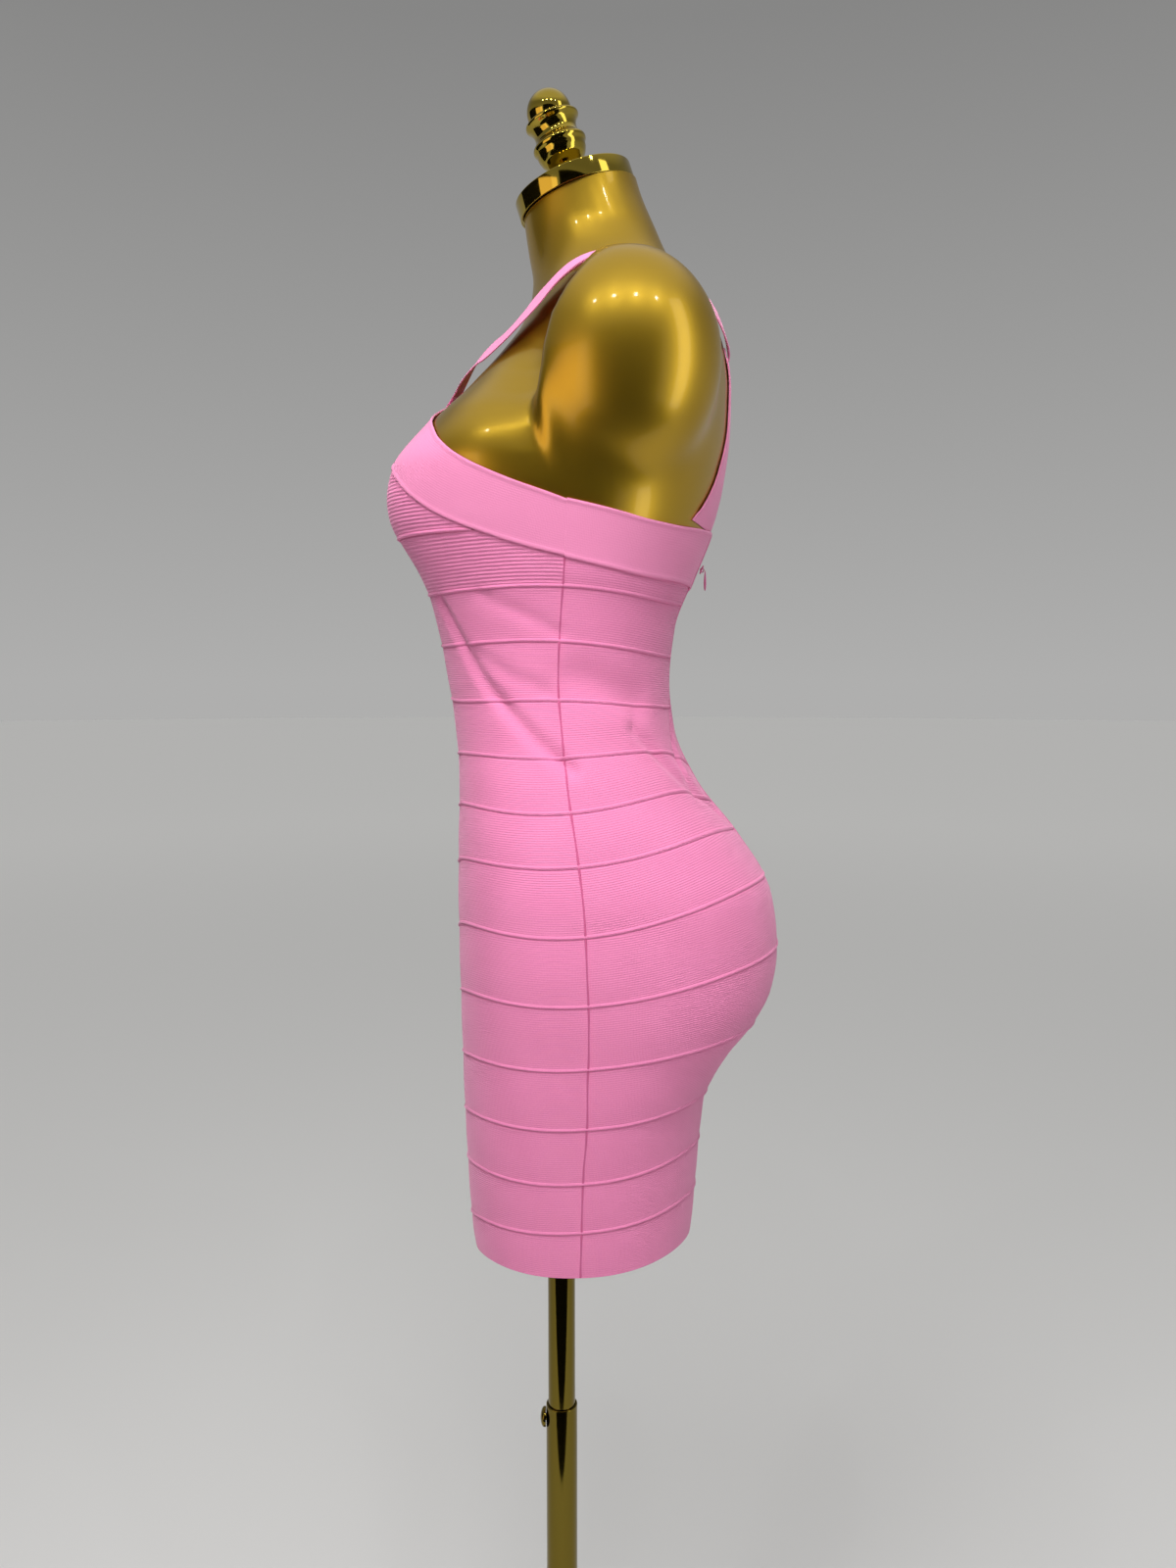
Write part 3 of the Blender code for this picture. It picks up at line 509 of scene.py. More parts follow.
# %% Where the seams run
# heights of the seams between the bands: at centre front, at 45 degrees, at the
# side seam, at 135 degrees and at centre back
SEAMS = (
    (1.3500, 1.3500, 1.3500, 1.3500, 1.3500),
    (1.3090, 1.3070, 1.3090, 1.3010, 1.3030),
    (1.2680, 1.2670, 1.2685, 1.2600, 1.2595),
    (1.2253, 1.2232, 1.2244, 1.2190, 1.2179),
    (1.1780, 1.1825, 1.1820, 1.1830, 1.1690),
    (1.1330, 1.1430, 1.1420, 1.1530, 1.1380),
    (1.0852, 1.1010, 1.1035, 1.1210, 1.1157),
    (1.0304, 1.0505, 1.0530, 1.0780, 1.0780),
    (0.9777, 0.9965, 1.0016, 1.0215, 1.0238),
    (0.9264, 0.9442, 0.9524, 0.9648, 0.9605),
    (0.8777, 0.8964, 0.9041, 0.9099, 0.8950),
    (0.8355, 0.8522, 0.8587, 0.8652, 0.8520),
    (0.7855, 0.8063, 0.8176, 0.8230, 0.8110),
    (0.7580, 0.7745, 0.7799, 0.7826, 0.7721),
)

# top band across the back: angle, height of its lower edge and of its upper edge
BACK_BAND = (
    (90, 1.3310, 1.3716),
    (100, 1.3260, 1.3667),
    (116, 1.3195, 1.3588),
    (130, 1.3178, 1.3566),
    (155, 1.3174, 1.3590),
    (180, 1.3176, 1.3625),
)


def seam_height(index, angle):
    """Height of one seam at an angle: an even, smooth curve through its five heights."""
    order = np.arange(5)
    waves = np.cos(np.outer(order * math.pi / 4, order))
    amount = np.linalg.solve(waves, SEAMS[index])
    return np.cos(np.multiply.outer(np.abs(angle), order)) @ amount


def back_band_edge(which, angle):
    """Height of the lower (0) or upper (1) edge of the band across the back."""
    degrees, *edges = np.array(BACK_BAND).T
    fine = np.linspace(degrees[0], degrees[-1], 46)
    rough = np.interp(fine, degrees, edges[which])
    for _ in range(6):
        rough[1:-1] = (rough[:-2] + 2 * rough[1:-1] + rough[2:]) / 4
    return np.interp(np.degrees(np.abs(angle)), fine, rough)


# %% Where the cloth drags into folds
# depth, half width, then the fold's path as angle and height
FOLDS = (
    (0.0040, 0.0070, ((38, 1.302), (49, 1.268), (62, 1.2351), (71, 1.2171), (82, 1.1927), (92, 1.174))),
    (0.0018, 0.0060, ((60, 1.306), (74, 1.292), (90, 1.276))),
    (0.0018, 0.0060, ((57, 1.262), (70, 1.246), (86, 1.232))),
    (0.0034, 0.0170, ((97, 1.243), (108, 1.236), (121, 1.224))),
    (0.0030, 0.0070, ((118, 1.2030), (123, 1.1934), (129, 1.1795), (136, 1.1660), (147, 1.1488))),
    (0.0030, 0.0075, ((161, 1.214), (152, 1.1960), (146, 1.1780), (146, 1.1620), (152, 1.1470),
                      (162, 1.1330))),
    (0.0009, 0.0050, ((83, 0.9410), (85, 0.9370))),
)
MEAN_RADIUS = 0.12      # a middling radius that turns an angle into a distance


def fold_lift(angle, height):
    """How far the folds raise or sink the cloth at each point."""
    across = np.abs(angle) * MEAN_RADIUS
    total = np.zeros(np.broadcast(angle, height).shape)
    for depth, half_width, path in FOLDS:
        points = np.array([(math.radians(a) * MEAN_RADIUS, z) for a, z in path])
        nearest = np.full(total.shape, 1.0)
        for (ax, az), (bx, bz) in zip(points, points[1:]):
            dx, dz = bx - ax, bz - az
            share = np.clip(((across - ax) * dx + (height - az) * dz) / (dx * dx + dz * dz), 0, 1)
            nearest = np.minimum(nearest, np.hypot(across - ax - share * dx, height - az - share * dz))
        q = (nearest / half_width) ** 2
        total -= depth * (1 - 0.55 * q) * np.exp(-q)
    return total


print(len(SEAMS), "rows of seams and", len(FOLDS), "folds on each side")

# %% [markdown]
# ## Laying cloth
#
# A cloth piece is a grid of points on its inner side. It becomes a mesh, takes
# its knit_place attribute, and Solidify gives it a real wall, applied at once.

# %% Helpers for cloth
WALL = 0.0009           # thickness of the cloth
UNDER = 0.0004          # height of a band's inner side above the form
OVER = 0.0016           # the same for the top band, which laps over the others
SHARP_EDGE = math.radians(60)       # edges sharper than this stay sharp in the cloth


def facing(points, faces):
    """True where a grid's faces look away from the form."""
    a, b, c = (points[faces[len(faces) // 2][k]] for k in range(3))
    return float(np.dot(np.cross(b - a, c - b), normals(a[None])[0])) > 0


def make_mesh(name, points, faces, mat):
    """A linked mesh object with one material, shaded smooth."""
    mesh = bpy.data.meshes.new(name)
    mesh.from_pydata(points.tolist(), [], [list(map(int, f)) for f in faces])
    mesh.materials.append(mat)
    obj = bpy.data.objects.new(name, mesh)
    bpy.context.scene.collection.objects.link(obj)
    mesh.shade_smooth()
    return obj


def grid_faces(rows, columns, ring=False):
    """Quads of a grid of points, closed round if it is a ring."""
    index = np.arange(rows * columns).reshape(rows, columns)
    if ring:
        index = np.hstack([index, index[:, :1]])
    return np.stack([index[:-1, :-1], index[:-1, 1:], index[1:, 1:], index[1:, :-1]], -1).reshape(-1, 4)


def use(obj):
    """Makes an object the only one selected, and active."""
    deselect_all()
    obj.select_set(True)
    bpy.context.view_layer.objects.active = obj


def knit_places(obj, place):
    """Stores where each point lies on its band, for the knit's pattern."""
    layer = obj.data.attributes.new("knit_place", "FLOAT_VECTOR", "POINT")
    layer.data.foreach_set("vector", np.ascontiguousarray(place, dtype=np.float32).ravel())


def cloth(name, grid, place, mat):
    """A sheet of cloth from the grid of its inner side, with its wall applied."""
    rows, columns = grid.shape[:2]
    points, faces = grid.reshape(-1, 3), grid_faces(rows, columns)
    if not facing(points, faces):
        faces = faces[:, ::-1]
    obj = make_mesh(name, points, faces, mat)
    knit_places(obj, place.reshape(-1, 3))
    use(obj)
    solid = obj.modifiers.new("wall", "SOLIDIFY")
    solid.thickness, solid.offset, solid.use_even_offset = WALL, 1.0, False
    bpy.ops.object.modifier_apply(modifier="wall")
    bpy.ops.object.shade_smooth_by_angle(angle=SHARP_EDGE)
    return obj


def settle_piece(obj, nodes):
    """Makes a dress piece move with the form and hides the solid parts it stands for."""
    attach(obj, "form")
    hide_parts(*nodes)


# %% [markdown]
# ## The gold form
#
# The form is one hollow shell, cut square to its sloping neck, with a socket
# for the pole below. Rings of points are laid on the skin one above another
# and joined into one mesh. Where the cloth hides it, the shell stays a little
# inside, so that folds have room to sink.

# %% The gold form
FORM_BOTTOM = 0.790
NECK_TILT = math.radians(18.5)
CAP_FOOT = np.array((0.0, 0.0154, 1.6288))      # middle of the cap's underside
NECK_UP = np.array((0.0, -math.sin(NECK_TILT), math.cos(NECK_TILT)))
SOCKET_RADIUS = 0.0126
SOCKET_TOP = 0.905
HIDDEN_INSET = 0.0052   # how far the hidden part of the shell lies inside the skin
HIDDEN_TOP = 1.326      # where that ends, under the top bands
HIDDEN_FADE = 0.004     # and how softly
GAP = 0.0003            # air between pieces that meet

# path of the crease between a shoulder and the chest: angle, height, depth
CREASE = (
    (84, 1.550, 0.000),
    (79, 1.535, 0.007),
    (74.5, 1.520, 0.015),
    (71.5, 1.500, 0.021),
    (71.5, 1.478, 0.021),
    (73, 1.458, 0.018),
    (75, 1.440, 0.013),
    (78, 1.422, 0.007),
    (81, 1.402, 0.002),
    (84, 1.385, 0.000),
)
CREASE_STEEP = 0.0058   # how far the crease reaches into the shoulder
CREASE_GENTLE = 0.031   # and how far it fades out over the chest


def crease_depth(angle, height):
    """How deep the chest lies below the skin in front of each shoulder's rounded edge."""
    degrees, z, depth = np.array(CREASE).T
    order = np.argsort(z)
    middle = np.interp(height, z[order], np.radians(degrees[order]))
    deepest = np.interp(height, z[order], depth[order], left=0.0, right=0.0)
    forward = (middle - np.abs(angle)) * SHOULDER_CENTRE[0]
    reach = np.where(forward > 0, CREASE_GENTLE, CREASE_STEEP)
    return deepest * np.exp(-(forward / reach) ** 2)


def form_rings():
    """Rings of points up the form, the top ones lying on the neck's sloping cut."""
    around = 288
    angles = np.linspace(-math.pi, math.pi, around, endpoint=False)
    heights = np.concatenate([np.linspace(FORM_BOTTOM, 1.30, 60, endpoint=False),
                              np.linspace(1.30, 1.60, 125, endpoint=False), np.linspace(1.60, 1.68, 30)])
    inset = HIDDEN_INSET / (1 + np.exp((heights - HIDDEN_TOP) / HIDDEN_FADE))
    a, z = np.meshgrid(angles, heights)
    rings = on_form(a, z, -inset[:, None] - crease_depth(a, z))
    above = (rings - CAP_FOOT) @ NECK_UP + GAP
    for k in range(1, len(heights)):
        over = np.maximum(above[k], 0.0)
        step = (rings[k] - rings[k - 1]) @ NECK_UP
        back = np.clip(over / np.maximum(step, 1e-6), 0, 1)[:, None]
        rings[k] = rings[k] + (rings[k - 1] - rings[k]) * back
        above[k] = (rings[k] - CAP_FOOT) @ NECK_UP + GAP
    return rings


rings = form_rings()
bottom = rings[0] * [0.985, 0.985, 1] + [0, 0.0003, -0.0010]
bottom[:, 2] = FORM_BOTTOM
rings[0, :, 2] = FORM_BOTTOM + 0.0012
round_socket = np.linspace(-math.pi, math.pi, rings.shape[1], endpoint=False)
lip = np.stack([SOCKET_RADIUS * np.sin(round_socket), -SOCKET_RADIUS * np.cos(round_socket),
                np.full(round_socket.shape, FORM_BOTTOM)], -1)
deep = lip + [0, 0, SOCKET_TOP - FORM_BOTTOM]
shell = np.concatenate([deep[None], lip[None], bottom[None], rings])
rows, columns = shell.shape[:2]
faces = [list(f) for f in grid_faces(rows, columns, ring=True)]
faces.append(list(range(columns))[::-1])
faces.append(list(range((rows - 1) * columns, rows * columns)))
gold_form = make_mesh("gold_form", shell.reshape(-1, 3), faces, lacquer)
use(gold_form)
bpy.ops.object.mode_set(mode="EDIT")
bpy.ops.mesh.select_all(action="SELECT")
bpy.ops.mesh.remove_doubles(threshold=0.00005)
bpy.ops.mesh.normals_make_consistent(inside=False)
bpy.ops.object.mode_set(mode="OBJECT")
bpy.ops.object.shade_smooth_by_angle(angle=math.radians(50))
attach(gold_form, "form")
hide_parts("torso")
print("gold form:", len(gold_form.data.polygons), "faces")

# %% [markdown]
# ## The knitted panels
#
# The front is one panel and the back is two, each a stack of bands. On a real
# bandage dress the bands are joined first and then stitched at the sides, so
# each panel is one sheet here, with a ridge raised along every seam.

# %% The knitted panels
NEAR_SEAM = (0.0, 0.0004, 0.0008, 0.0012, 0.0016, 0.0021, 0.0028, 0.0038)
MIDDLE_ROWS = 7
PUFF = 0.0005           # how far a band swells between its seams
RIDGE = 0.0011
RIDGE_MIDDLE = 0.0013
RIDGE_HALF = 0.00065
SHADOW = 0.0009         # how far the cloth sinks just under a ridge
SHADOW_MIDDLE = 0.0003
SHADOW_HALF = 0.0006
SIDE = math.pi / 2
TUCK = 0.0022           # how far a panel reaches under the top band
TUCK_FADE = 0.006       # height over which its relief dies away there


def band_rows(lower, upper):
    """Heights of one band's rows, and how far each is above and below its seams."""
    gap = upper - lower
    low = [lower + d for d in NEAR_SEAM]
    middle = [lower + NEAR_SEAM[-1] + (gap - 2 * NEAR_SEAM[-1]) * s
              for s in np.linspace(0, 1, MIDDLE_ROWS + 2)[1:-1]]
    high = [upper - d for d in NEAR_SEAM[:0:-1]]
    heights = np.array(low + middle + high)
    return heights, heights - lower, upper - heights


def seam_relief(above, below):
    """Lift of a band's surface from its swelling, its seam ridge and the dip under the next."""
    share = above / (above + below)
    return (PUFF * np.sin(math.pi * share)
            + RIDGE * np.exp(-((above - RIDGE_MIDDLE) / RIDGE_HALF) ** 2)
            - SHADOW * np.exp(-((below - SHADOW_MIDDLE) / SHADOW_HALF) ** 2))


def knitted_panel(name, angles, seams, top, tuck, coarse):
    """One panel from its seams, listed from the hem up, to its top edge."""
    heights, lifts, up, rough = [], [], [], []
    for number, (lower, upper) in enumerate(zip(seams, [*seams[1:], top])):
        z, above, below = band_rows(lower, upper)
        lift = seam_relief(above, below)
        if number == 0:
            lift = lift - RIDGE * np.exp(-((above - RIDGE_MIDDLE) / RIDGE_HALF) ** 2)
        heights.append(z)
        lifts.append(lift)
        up.append(above)
        rough.append(np.full(z.shape, coarse(number)))
    for share in (0.0, 0.5, 1.0):
        heights.append((top + tuck * share)[None])
        lifts.append(np.full((1, len(angles)), -0.0003 * share))
        up.append((top - seams[-1] + tuck * share)[None])
        rough.append(np.full((1, len(angles)), coarse(len(seams) - 1)))
    heights, lifts, up, rough = (np.concatenate(rows) for rows in (heights, lifts, up, rough))
    a = np.broadcast_to(angles, heights.shape)
    under_band = np.clip((heights - (top - TUCK_FADE)) / TUCK_FADE, 0, 1) * (tuck > 0)
    lift = UNDER + lifts * (1 - under_band) + fold_lift(a, heights) * (1 - under_band)
    grid = on_form(a, heights, lift)
    along = np.concatenate([np.zeros((len(heights), 1)),
                            np.cumsum(np.linalg.norm(np.diff(grid, axis=1), axis=-1), axis=1)], axis=1)
    return cloth(name, grid, np.stack([along, up, rough], -1), knit_cloth), grid


def front_top(edge, angles):
    """Top of the front panel: its first seam, or the top band's edge where that is lower."""
    return np.minimum(seam_height(0, angles), band_lower_edge(edge, angles))


# %% [markdown]
# ## The top band and its straps
#
# Each front band is one long strip of smooth knit: it leaves the side seam,
# climbs over the bust, is pinched where it crosses its twin, and runs on over
# the far shoulder as a strap. Its path is a smooth curve on the form, and the
# strip is laid across that curve. Both its edges are rolled and stitched down.

# %% The path of a front band
# middle line of a front band and of the strap it becomes, from the left side seam
# over the centre to the right shoulder blade: angle, height, half width, and the
# lift of its lower (then outer) and upper (then inner) edge off the form
BAND_PATH = (
    (90, 1.3513, 0.0203, 0.0000, 0.0000),
    (70, 1.3660, 0.0212, 0.0000, 0.0000),
    (53, 1.3860, 0.0228, 0.0000, 0.0000),
    (39, 1.4120, 0.0245, 0.0000, 0.0000),
    (26, 1.4280, 0.0230, 0.0000, 0.0000),
    (13, 1.4430, 0.0190, 0.0000, 0.0005),
    (3, 1.4560, 0.0140, 0.0005, 0.0010),
    (-7, 1.4710, 0.0110, 0.0010, 0.0020),
    (-17, 1.4805, 0.0125, 0.0016, 0.0038),
    (-29, 1.4905, 0.0145, 0.0016, 0.0034),
    (-46, 1.5055, 0.0160, 0.0014, 0.0018),
    (-90, 1.5535, 0.0170, 0.0010, 0.0008),
    (-135, 1.5320, 0.0175, 0.0006, 0.0006),
    (-151, 1.5140, 0.0180, 0.0000, 0.0000),
    (-162, 1.4982, 0.0185, 0.0000, 0.0000),
)
BAND_SQUARE_END = 0.035  # length over which an end turns level with its seam
CROSSING_LIFT = 0.0040  # extra height of the band that passes in front
CROSSING_START = 0.026  # distance from centre front at which it starts to rise
CROSSING_RISE = 0.003   # and how sharply
CROSSING_END = 0.048    # distance past centre front at which it settles again
CROSSING_FALL = 0.55    # by this share of its lift
EDGE_ROLL = 0.0006
EDGE_ROLL_HALF = 0.0010
EDGE_ROLL_MIDDLE = 0.0012


def smooth_path(points, count):
    """Evenly spaced points on a smooth curve through some points."""
    ends = [2 * points[0] - points[1], *points, 2 * points[-1] - points[-2]]
    fine = []
    for a, b, c, d in zip(ends, ends[1:], ends[2:], ends[3:]):
        for t in np.linspace(0, 1, 12, endpoint=False):
            fine.append(0.5 * (2 * b + (c - a) * t + (2 * a - 5 * b + 4 * c - d) * t * t
                               + (3 * b - a - 3 * c + d) * t ** 3))
    fine = np.array([*fine, points[-1]])
    length = np.concatenate([[0], np.cumsum(np.linalg.norm(np.diff(fine[:, :3], axis=0), axis=1))])
    even = np.linspace(0, length[-1], count)
    return np.stack([np.interp(even, length, fine[:, k]) for k in range(fine.shape[1])], axis=1)


def even_rows(share_count):
    """Shares across a band, closer together near its two edges."""
    t = np.linspace(0, 1, share_count)
    return (1 - np.cos(math.pi * t)) / 2


def edge_rolls(low, high):
    """Lift of the rolled edges, from the distances to a band's two edges."""
    return sum(EDGE_ROLL * np.exp(-((d - EDGE_ROLL_MIDDLE) / EDGE_ROLL_HALF) ** 2) for d in (low, high))


def front_band_grid(count, across, extra_lift):
    """Inner side of a left front band, and where each point lies on it."""
    degrees, height, *rest = np.array(BAND_PATH).T
    rows = np.column_stack([on_form(np.radians(degrees), height), *rest])
    path = smooth_path(rows, count)
    half_width, low_lift, high_lift = path[:, 3], path[:, 4], path[:, 5]
    middle = settle(path[:, :3], np.zeros(count))
    along = np.gradient(middle, axis=0)
    up = unit(np.cross(normals(middle), along))
    up *= np.sign(up[0, 2])
    run = np.concatenate([[0], np.cumsum(np.linalg.norm(np.diff(middle, axis=0), axis=1))])
    at_side = np.clip(1 - run / BAND_SQUARE_END, 0, 1)[:, None]
    at_back = np.clip(1 - (run[-1] - run) / BAND_SQUARE_END, 0, 1)[:, None]
    up = unit(up * (1 - at_side) * (1 - at_back) + at_side * [0, 0, 1] + at_back * [1, 0, 0])
    passed = 1 / (1 + np.exp((middle[:, 0] - CROSSING_START) / CROSSING_RISE))
    beyond = 1 / (1 + np.exp((middle[:, 0] + CROSSING_END) / CROSSING_RISE))
    passed *= 1 - CROSSING_FALL * np.where(middle[:, 1] < 0, beyond, 1.0)
    share = even_rows(across)[:, None]
    lift = (OVER + extra_lift * passed + low_lift + (high_lift - low_lift) * share
            + edge_rolls(share * half_width * 2, (1 - share) * half_width * 2))
    flat = middle + up * ((2 * share - 1) * half_width)[..., None]
    lean = smooth_column(2, flat[..., 2]) - smooth_column(2, middle[:, 2])
    flat[..., 1] += lean * at_side[:, 0]
    place = np.stack([np.broadcast_to(run, lift.shape), share * half_width * 2, np.zeros(lift.shape)], -1)
    return settle(flat, lift), place


def band_lower_edge(edge, angle):
    """Height of the front bands' lower edge at an angle, from its points."""
    side = smooth_column(2, edge[:, 2])
    edge_angle = np.arctan2(edge[:, 0], side - edge[:, 1])
    near = slice(0, int(np.argmax(edge_angle < 0)) + 1)
    return np.interp(np.abs(angle), edge_angle[near][::-1], edge[near, 2][::-1])


# %% The front bands
BAND_COUNT, BAND_ACROSS = 300, 27
left_grid, band_place = front_band_grid(BAND_COUNT, BAND_ACROSS, 0.0)
crossing_grid, _ = front_band_grid(BAND_COUNT, BAND_ACROSS, CROSSING_LIFT)
right_grid = crossing_grid * [-1, 1, 1]
for name, grid in (("left_front_band", left_grid), ("right_front_band", right_grid)):
    band = cloth(f"{name}_cloth", grid, band_place, band_cloth)
    settle_piece(band, [name])

# %% The front panel and the bust insert
lower_edge = left_grid[0]
front_angles = np.linspace(-SIDE, SIDE, 141)
front_seams = [seam_height(k, front_angles) for k in range(len(SEAMS) - 1, 0, -1)]
tucked = TUCK * (band_lower_edge(lower_edge, front_angles) < seam_height(0, front_angles))
LAST_FINE_BAND = 11     # counted from 0 at the hem: the ribs above it are coarse
front, grid = knitted_panel("front_panel", front_angles, front_seams, front_top(lower_edge, front_angles),
                            tucked, lambda number: 1.0 if number > LAST_FINE_BAND else 0.0)
settle_piece(front, [f"front_strip_{k:02d}" for k in range(2, 15)])

INSERT_HALF_ANGLE = math.radians(61)
INSERT_LIFT = 0.0003    # how much further off the form the insert lies than a panel
INSERT_FADE = 0.004     # height over which its relief dies away under the band
insert_angles = np.linspace(-INSERT_HALF_ANGLE, INSERT_HALF_ANGLE, 141)
foot, head = seam_height(0, insert_angles), band_lower_edge(lower_edge, insert_angles) + TUCK
share = np.concatenate([np.linspace(0, 0.1, 14, endpoint=False), np.linspace(0.1, 1, 56)])[:, None]
insert_z = foot + np.maximum(head - foot, 0.0008) * share
above = insert_z - foot
under_band = np.clip((insert_z - (head - TUCK - INSERT_FADE)) / INSERT_FADE, 0, 1)
insert_lift = UNDER + INSERT_LIFT * (1 - under_band) + RIDGE * (1 - under_band) * np.exp(
    -((above - RIDGE_MIDDLE) / RIDGE_HALF) ** 2)
grid = on_form(np.broadcast_to(insert_angles, insert_z.shape), insert_z, insert_lift)
along = np.broadcast_to(insert_angles * MEAN_RADIUS, insert_z.shape)
insert = cloth("bust_insert", grid, np.stack([along, above, np.ones(above.shape)], -1), knit_cloth)
settle_piece(insert, ["front_strip_01"])

# %% The two backs and their bands
BACK_START = SIDE + 0.0008          # angles of a back's two edges, just clear of the
BACK_END = math.pi - 0.0012         # side seam and of the other back
for side, sign in (("left", 1), ("right", -1)):
    back_angles = sign * np.linspace(BACK_START, BACK_END, 81)
    back_seams = [seam_height(k, back_angles) for k in range(len(SEAMS) - 1, 0, -1)]
    back, grid = knitted_panel(f"{side}_back_panel", back_angles, back_seams,
                               back_band_edge(0, back_angles), np.full(back_angles.shape, TUCK),
                               lambda number: 0.0)
    settle_piece(back, [f"{side}_back_strip_{k:02d}" for k in range(2, 15)])
    low, high = back_band_edge(0, back_angles), back_band_edge(1, back_angles)
    share = even_rows(BAND_ACROSS)[:, None]
    z = low + (high - low) * share
    band_angles = sign * np.linspace(SIDE, BACK_END, len(back_angles))
    grid = on_form(np.broadcast_to(band_angles, z.shape), z, OVER + edge_rolls(z - low, high - z))
    along = np.broadcast_to(np.abs(back_angles) * MEAN_RADIUS, z.shape)
    place = np.stack([along, z - low, np.zeros(z.shape)], -1)
    band = cloth(f"{side}_back_band_cloth", grid, place, band_cloth)
    settle_piece(band, [f"{side}_back_band"])

# %% [markdown]
# ## The racer back
#
# Between the shoulder blades one shaped piece narrows upwards and takes both
# straps. Its foot is tucked under the back band and its top under the straps,
# and its sides are rolled like the band's.

# %% The racer back
# height, half width
RACER = (
    (1.3640, 0.0950),
    (1.3840, 0.0790),
    (1.4060, 0.0660),
    (1.4300, 0.0580),
    (1.4600, 0.0540),
    (1.4975, 0.0550),
)

racer_table = smooth_path(np.array([(w, 0.0, z) for z, w in RACER]), 90)
ROLL_ROWS = 61
columns_share = 2 * even_rows(ROLL_ROWS) - 1
z_rows = np.linspace(RACER[0][0], RACER[-1][0] + 0.0022, 110)
half = np.interp(z_rows, racer_table[:, 2], racer_table[:, 0])
x = columns_share[None] * half[:, None]
z = np.broadcast_to(z_rows[:, None], x.shape).copy()
first = settle(np.stack([x[0], smooth_column(4, z[0]), z[0]], -1), np.zeros(x[0].shape))
angle = np.arctan2(first[:, 0], smooth_column(2, z[0]) - first[:, 1])
z += (back_band_edge(1, angle) - TUCK - z[0])[None] * np.linspace(1, 0, len(z_rows))[:, None]
points = np.stack([x, np.broadcast_to(smooth_column(4, z), x.shape), z], -1)
side_roll = edge_rolls((1 - np.abs(columns_share))[None] * half[:, None], np.full(x.shape, 1.0))
row = np.arange(len(z_rows))
# the relief is full along the piece and dies away over the rows at its two ends
rise = np.clip(np.minimum(row, len(z_rows) - 1 - row) / 6 - 0.5, 0, 1)[:, None]
RACER_LIFT = 0.0005
grid = settle(points, UNDER + (RACER_LIFT + side_roll) * rise)
racer = cloth("racer_back_cloth", grid, np.stack([x, z, np.zeros(x.shape)], -1), band_cloth)
settle_piece(racer, ["racer_back"])

# %% [markdown]
# ## Side seams and the zip
#
# The side seams are overlocked: a narrow rounded ridge with a stitch every
# couple of millimetres. The zip is the hidden kind, so only two soft lips of
# cloth show, meeting in a groove, with the slider and its small drop tab on
# top. One helper runs a cross-section along a line on the form for both.

# %% Side seams and zip lips
STITCH_PITCH = 0.0021


def welt(name, angle, heights, lift, section, mat, stitch=0.0):
    """A ridge along a line up the form: its section is (sideways, height) rows in metres."""
    middle = on_form(np.full(heights.shape, angle), heights)
    out = normals(middle)
    sideways = unit(np.cross(out, np.gradient(middle, axis=0)))
    run = np.concatenate([[0], np.cumsum(np.linalg.norm(np.diff(middle, axis=0), axis=1))])
    swell = 1 + stitch * np.sin(math.tau * run / STITCH_PITCH)
    side, high = np.array(section).T
    place = middle[:, None] + sideways[:, None] * side[None, :, None]
    exact = settle(place, np.zeros(place.shape[:2]))
    raised = lift[:, None] + high[None] * np.where(high > 0, swell[:, None], 1.0)
    points = exact + out[:, None] * raised[..., None]
    rows, columns = points.shape[:2]
    faces = [list(f) for f in grid_faces(rows, columns, ring=True)]
    faces += [list(range(columns)), list(range((rows - 1) * columns, rows * columns))[::-1]]
    obj = make_mesh(name, points.reshape(-1, 3), faces, mat)
    along, across = np.broadcast_to(run[:, None], (rows, columns)), np.broadcast_to(side, (rows, columns))
    knit_places(obj, np.stack([along, across, np.zeros((rows, columns))], -1).reshape(-1, 3))
    use(obj)
    bpy.ops.object.mode_set(mode="EDIT")
    bpy.ops.mesh.select_all(action="SELECT")
    bpy.ops.mesh.normals_make_consistent(inside=False)
    bpy.ops.object.mode_set(mode="OBJECT")
    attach(obj, "form")
    return obj


# sections: distance sideways, height
OVERLOCK = ((-0.0010, -0.0006), (-0.0010, 0.0001), (-0.0006, 0.0006), (0.0, 0.0008), (0.0006, 0.0006),
            (0.0010, 0.0001), (0.0010, -0.0006))
for side, angle in (("left", SIDE), ("right", -SIDE)):
    bottom_z = float(seam_height(len(SEAMS) - 1, angle)) + 0.0004
    heights = np.linspace(bottom_z, BAND_PATH[0][1] - BAND_PATH[0][2] + 0.0004, 780)
    lift = UNDER + WALL + fold_lift(np.full(heights.shape, abs(angle)), heights)
    seam = welt(f"{side}_side_seam", angle, heights, lift, OVERLOCK, thread, 0.22)

ZIP_LIPS = ((-0.0046, -0.0012), (-0.0046, 0.0), (-0.0038, 0.0008), (-0.0022, 0.0012), (-0.0007, 0.0009),
            (0.0, 0.0003), (0.0007, 0.0009), (0.0022, 0.0012), (0.0038, 0.0008), (0.0046, 0.0),
            (0.0046, -0.0012))
ZIP_BOTTOM = 1.030
zip_heights = np.linspace(ZIP_BOTTOM, float(back_band_edge(1, math.pi)) - 0.0006, 330)
on_band = 1 / (1 + np.exp(-(zip_heights - float(back_band_edge(0, math.pi)) + 0.001) / 0.0006))
zip_lift = UNDER + WALL + (OVER - UNDER) * on_band
lips = welt("zip_lips", math.pi, zip_heights, zip_lift, ZIP_LIPS, zip_tape)
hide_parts("zip_chain")
print("side seams and zip lips laid")

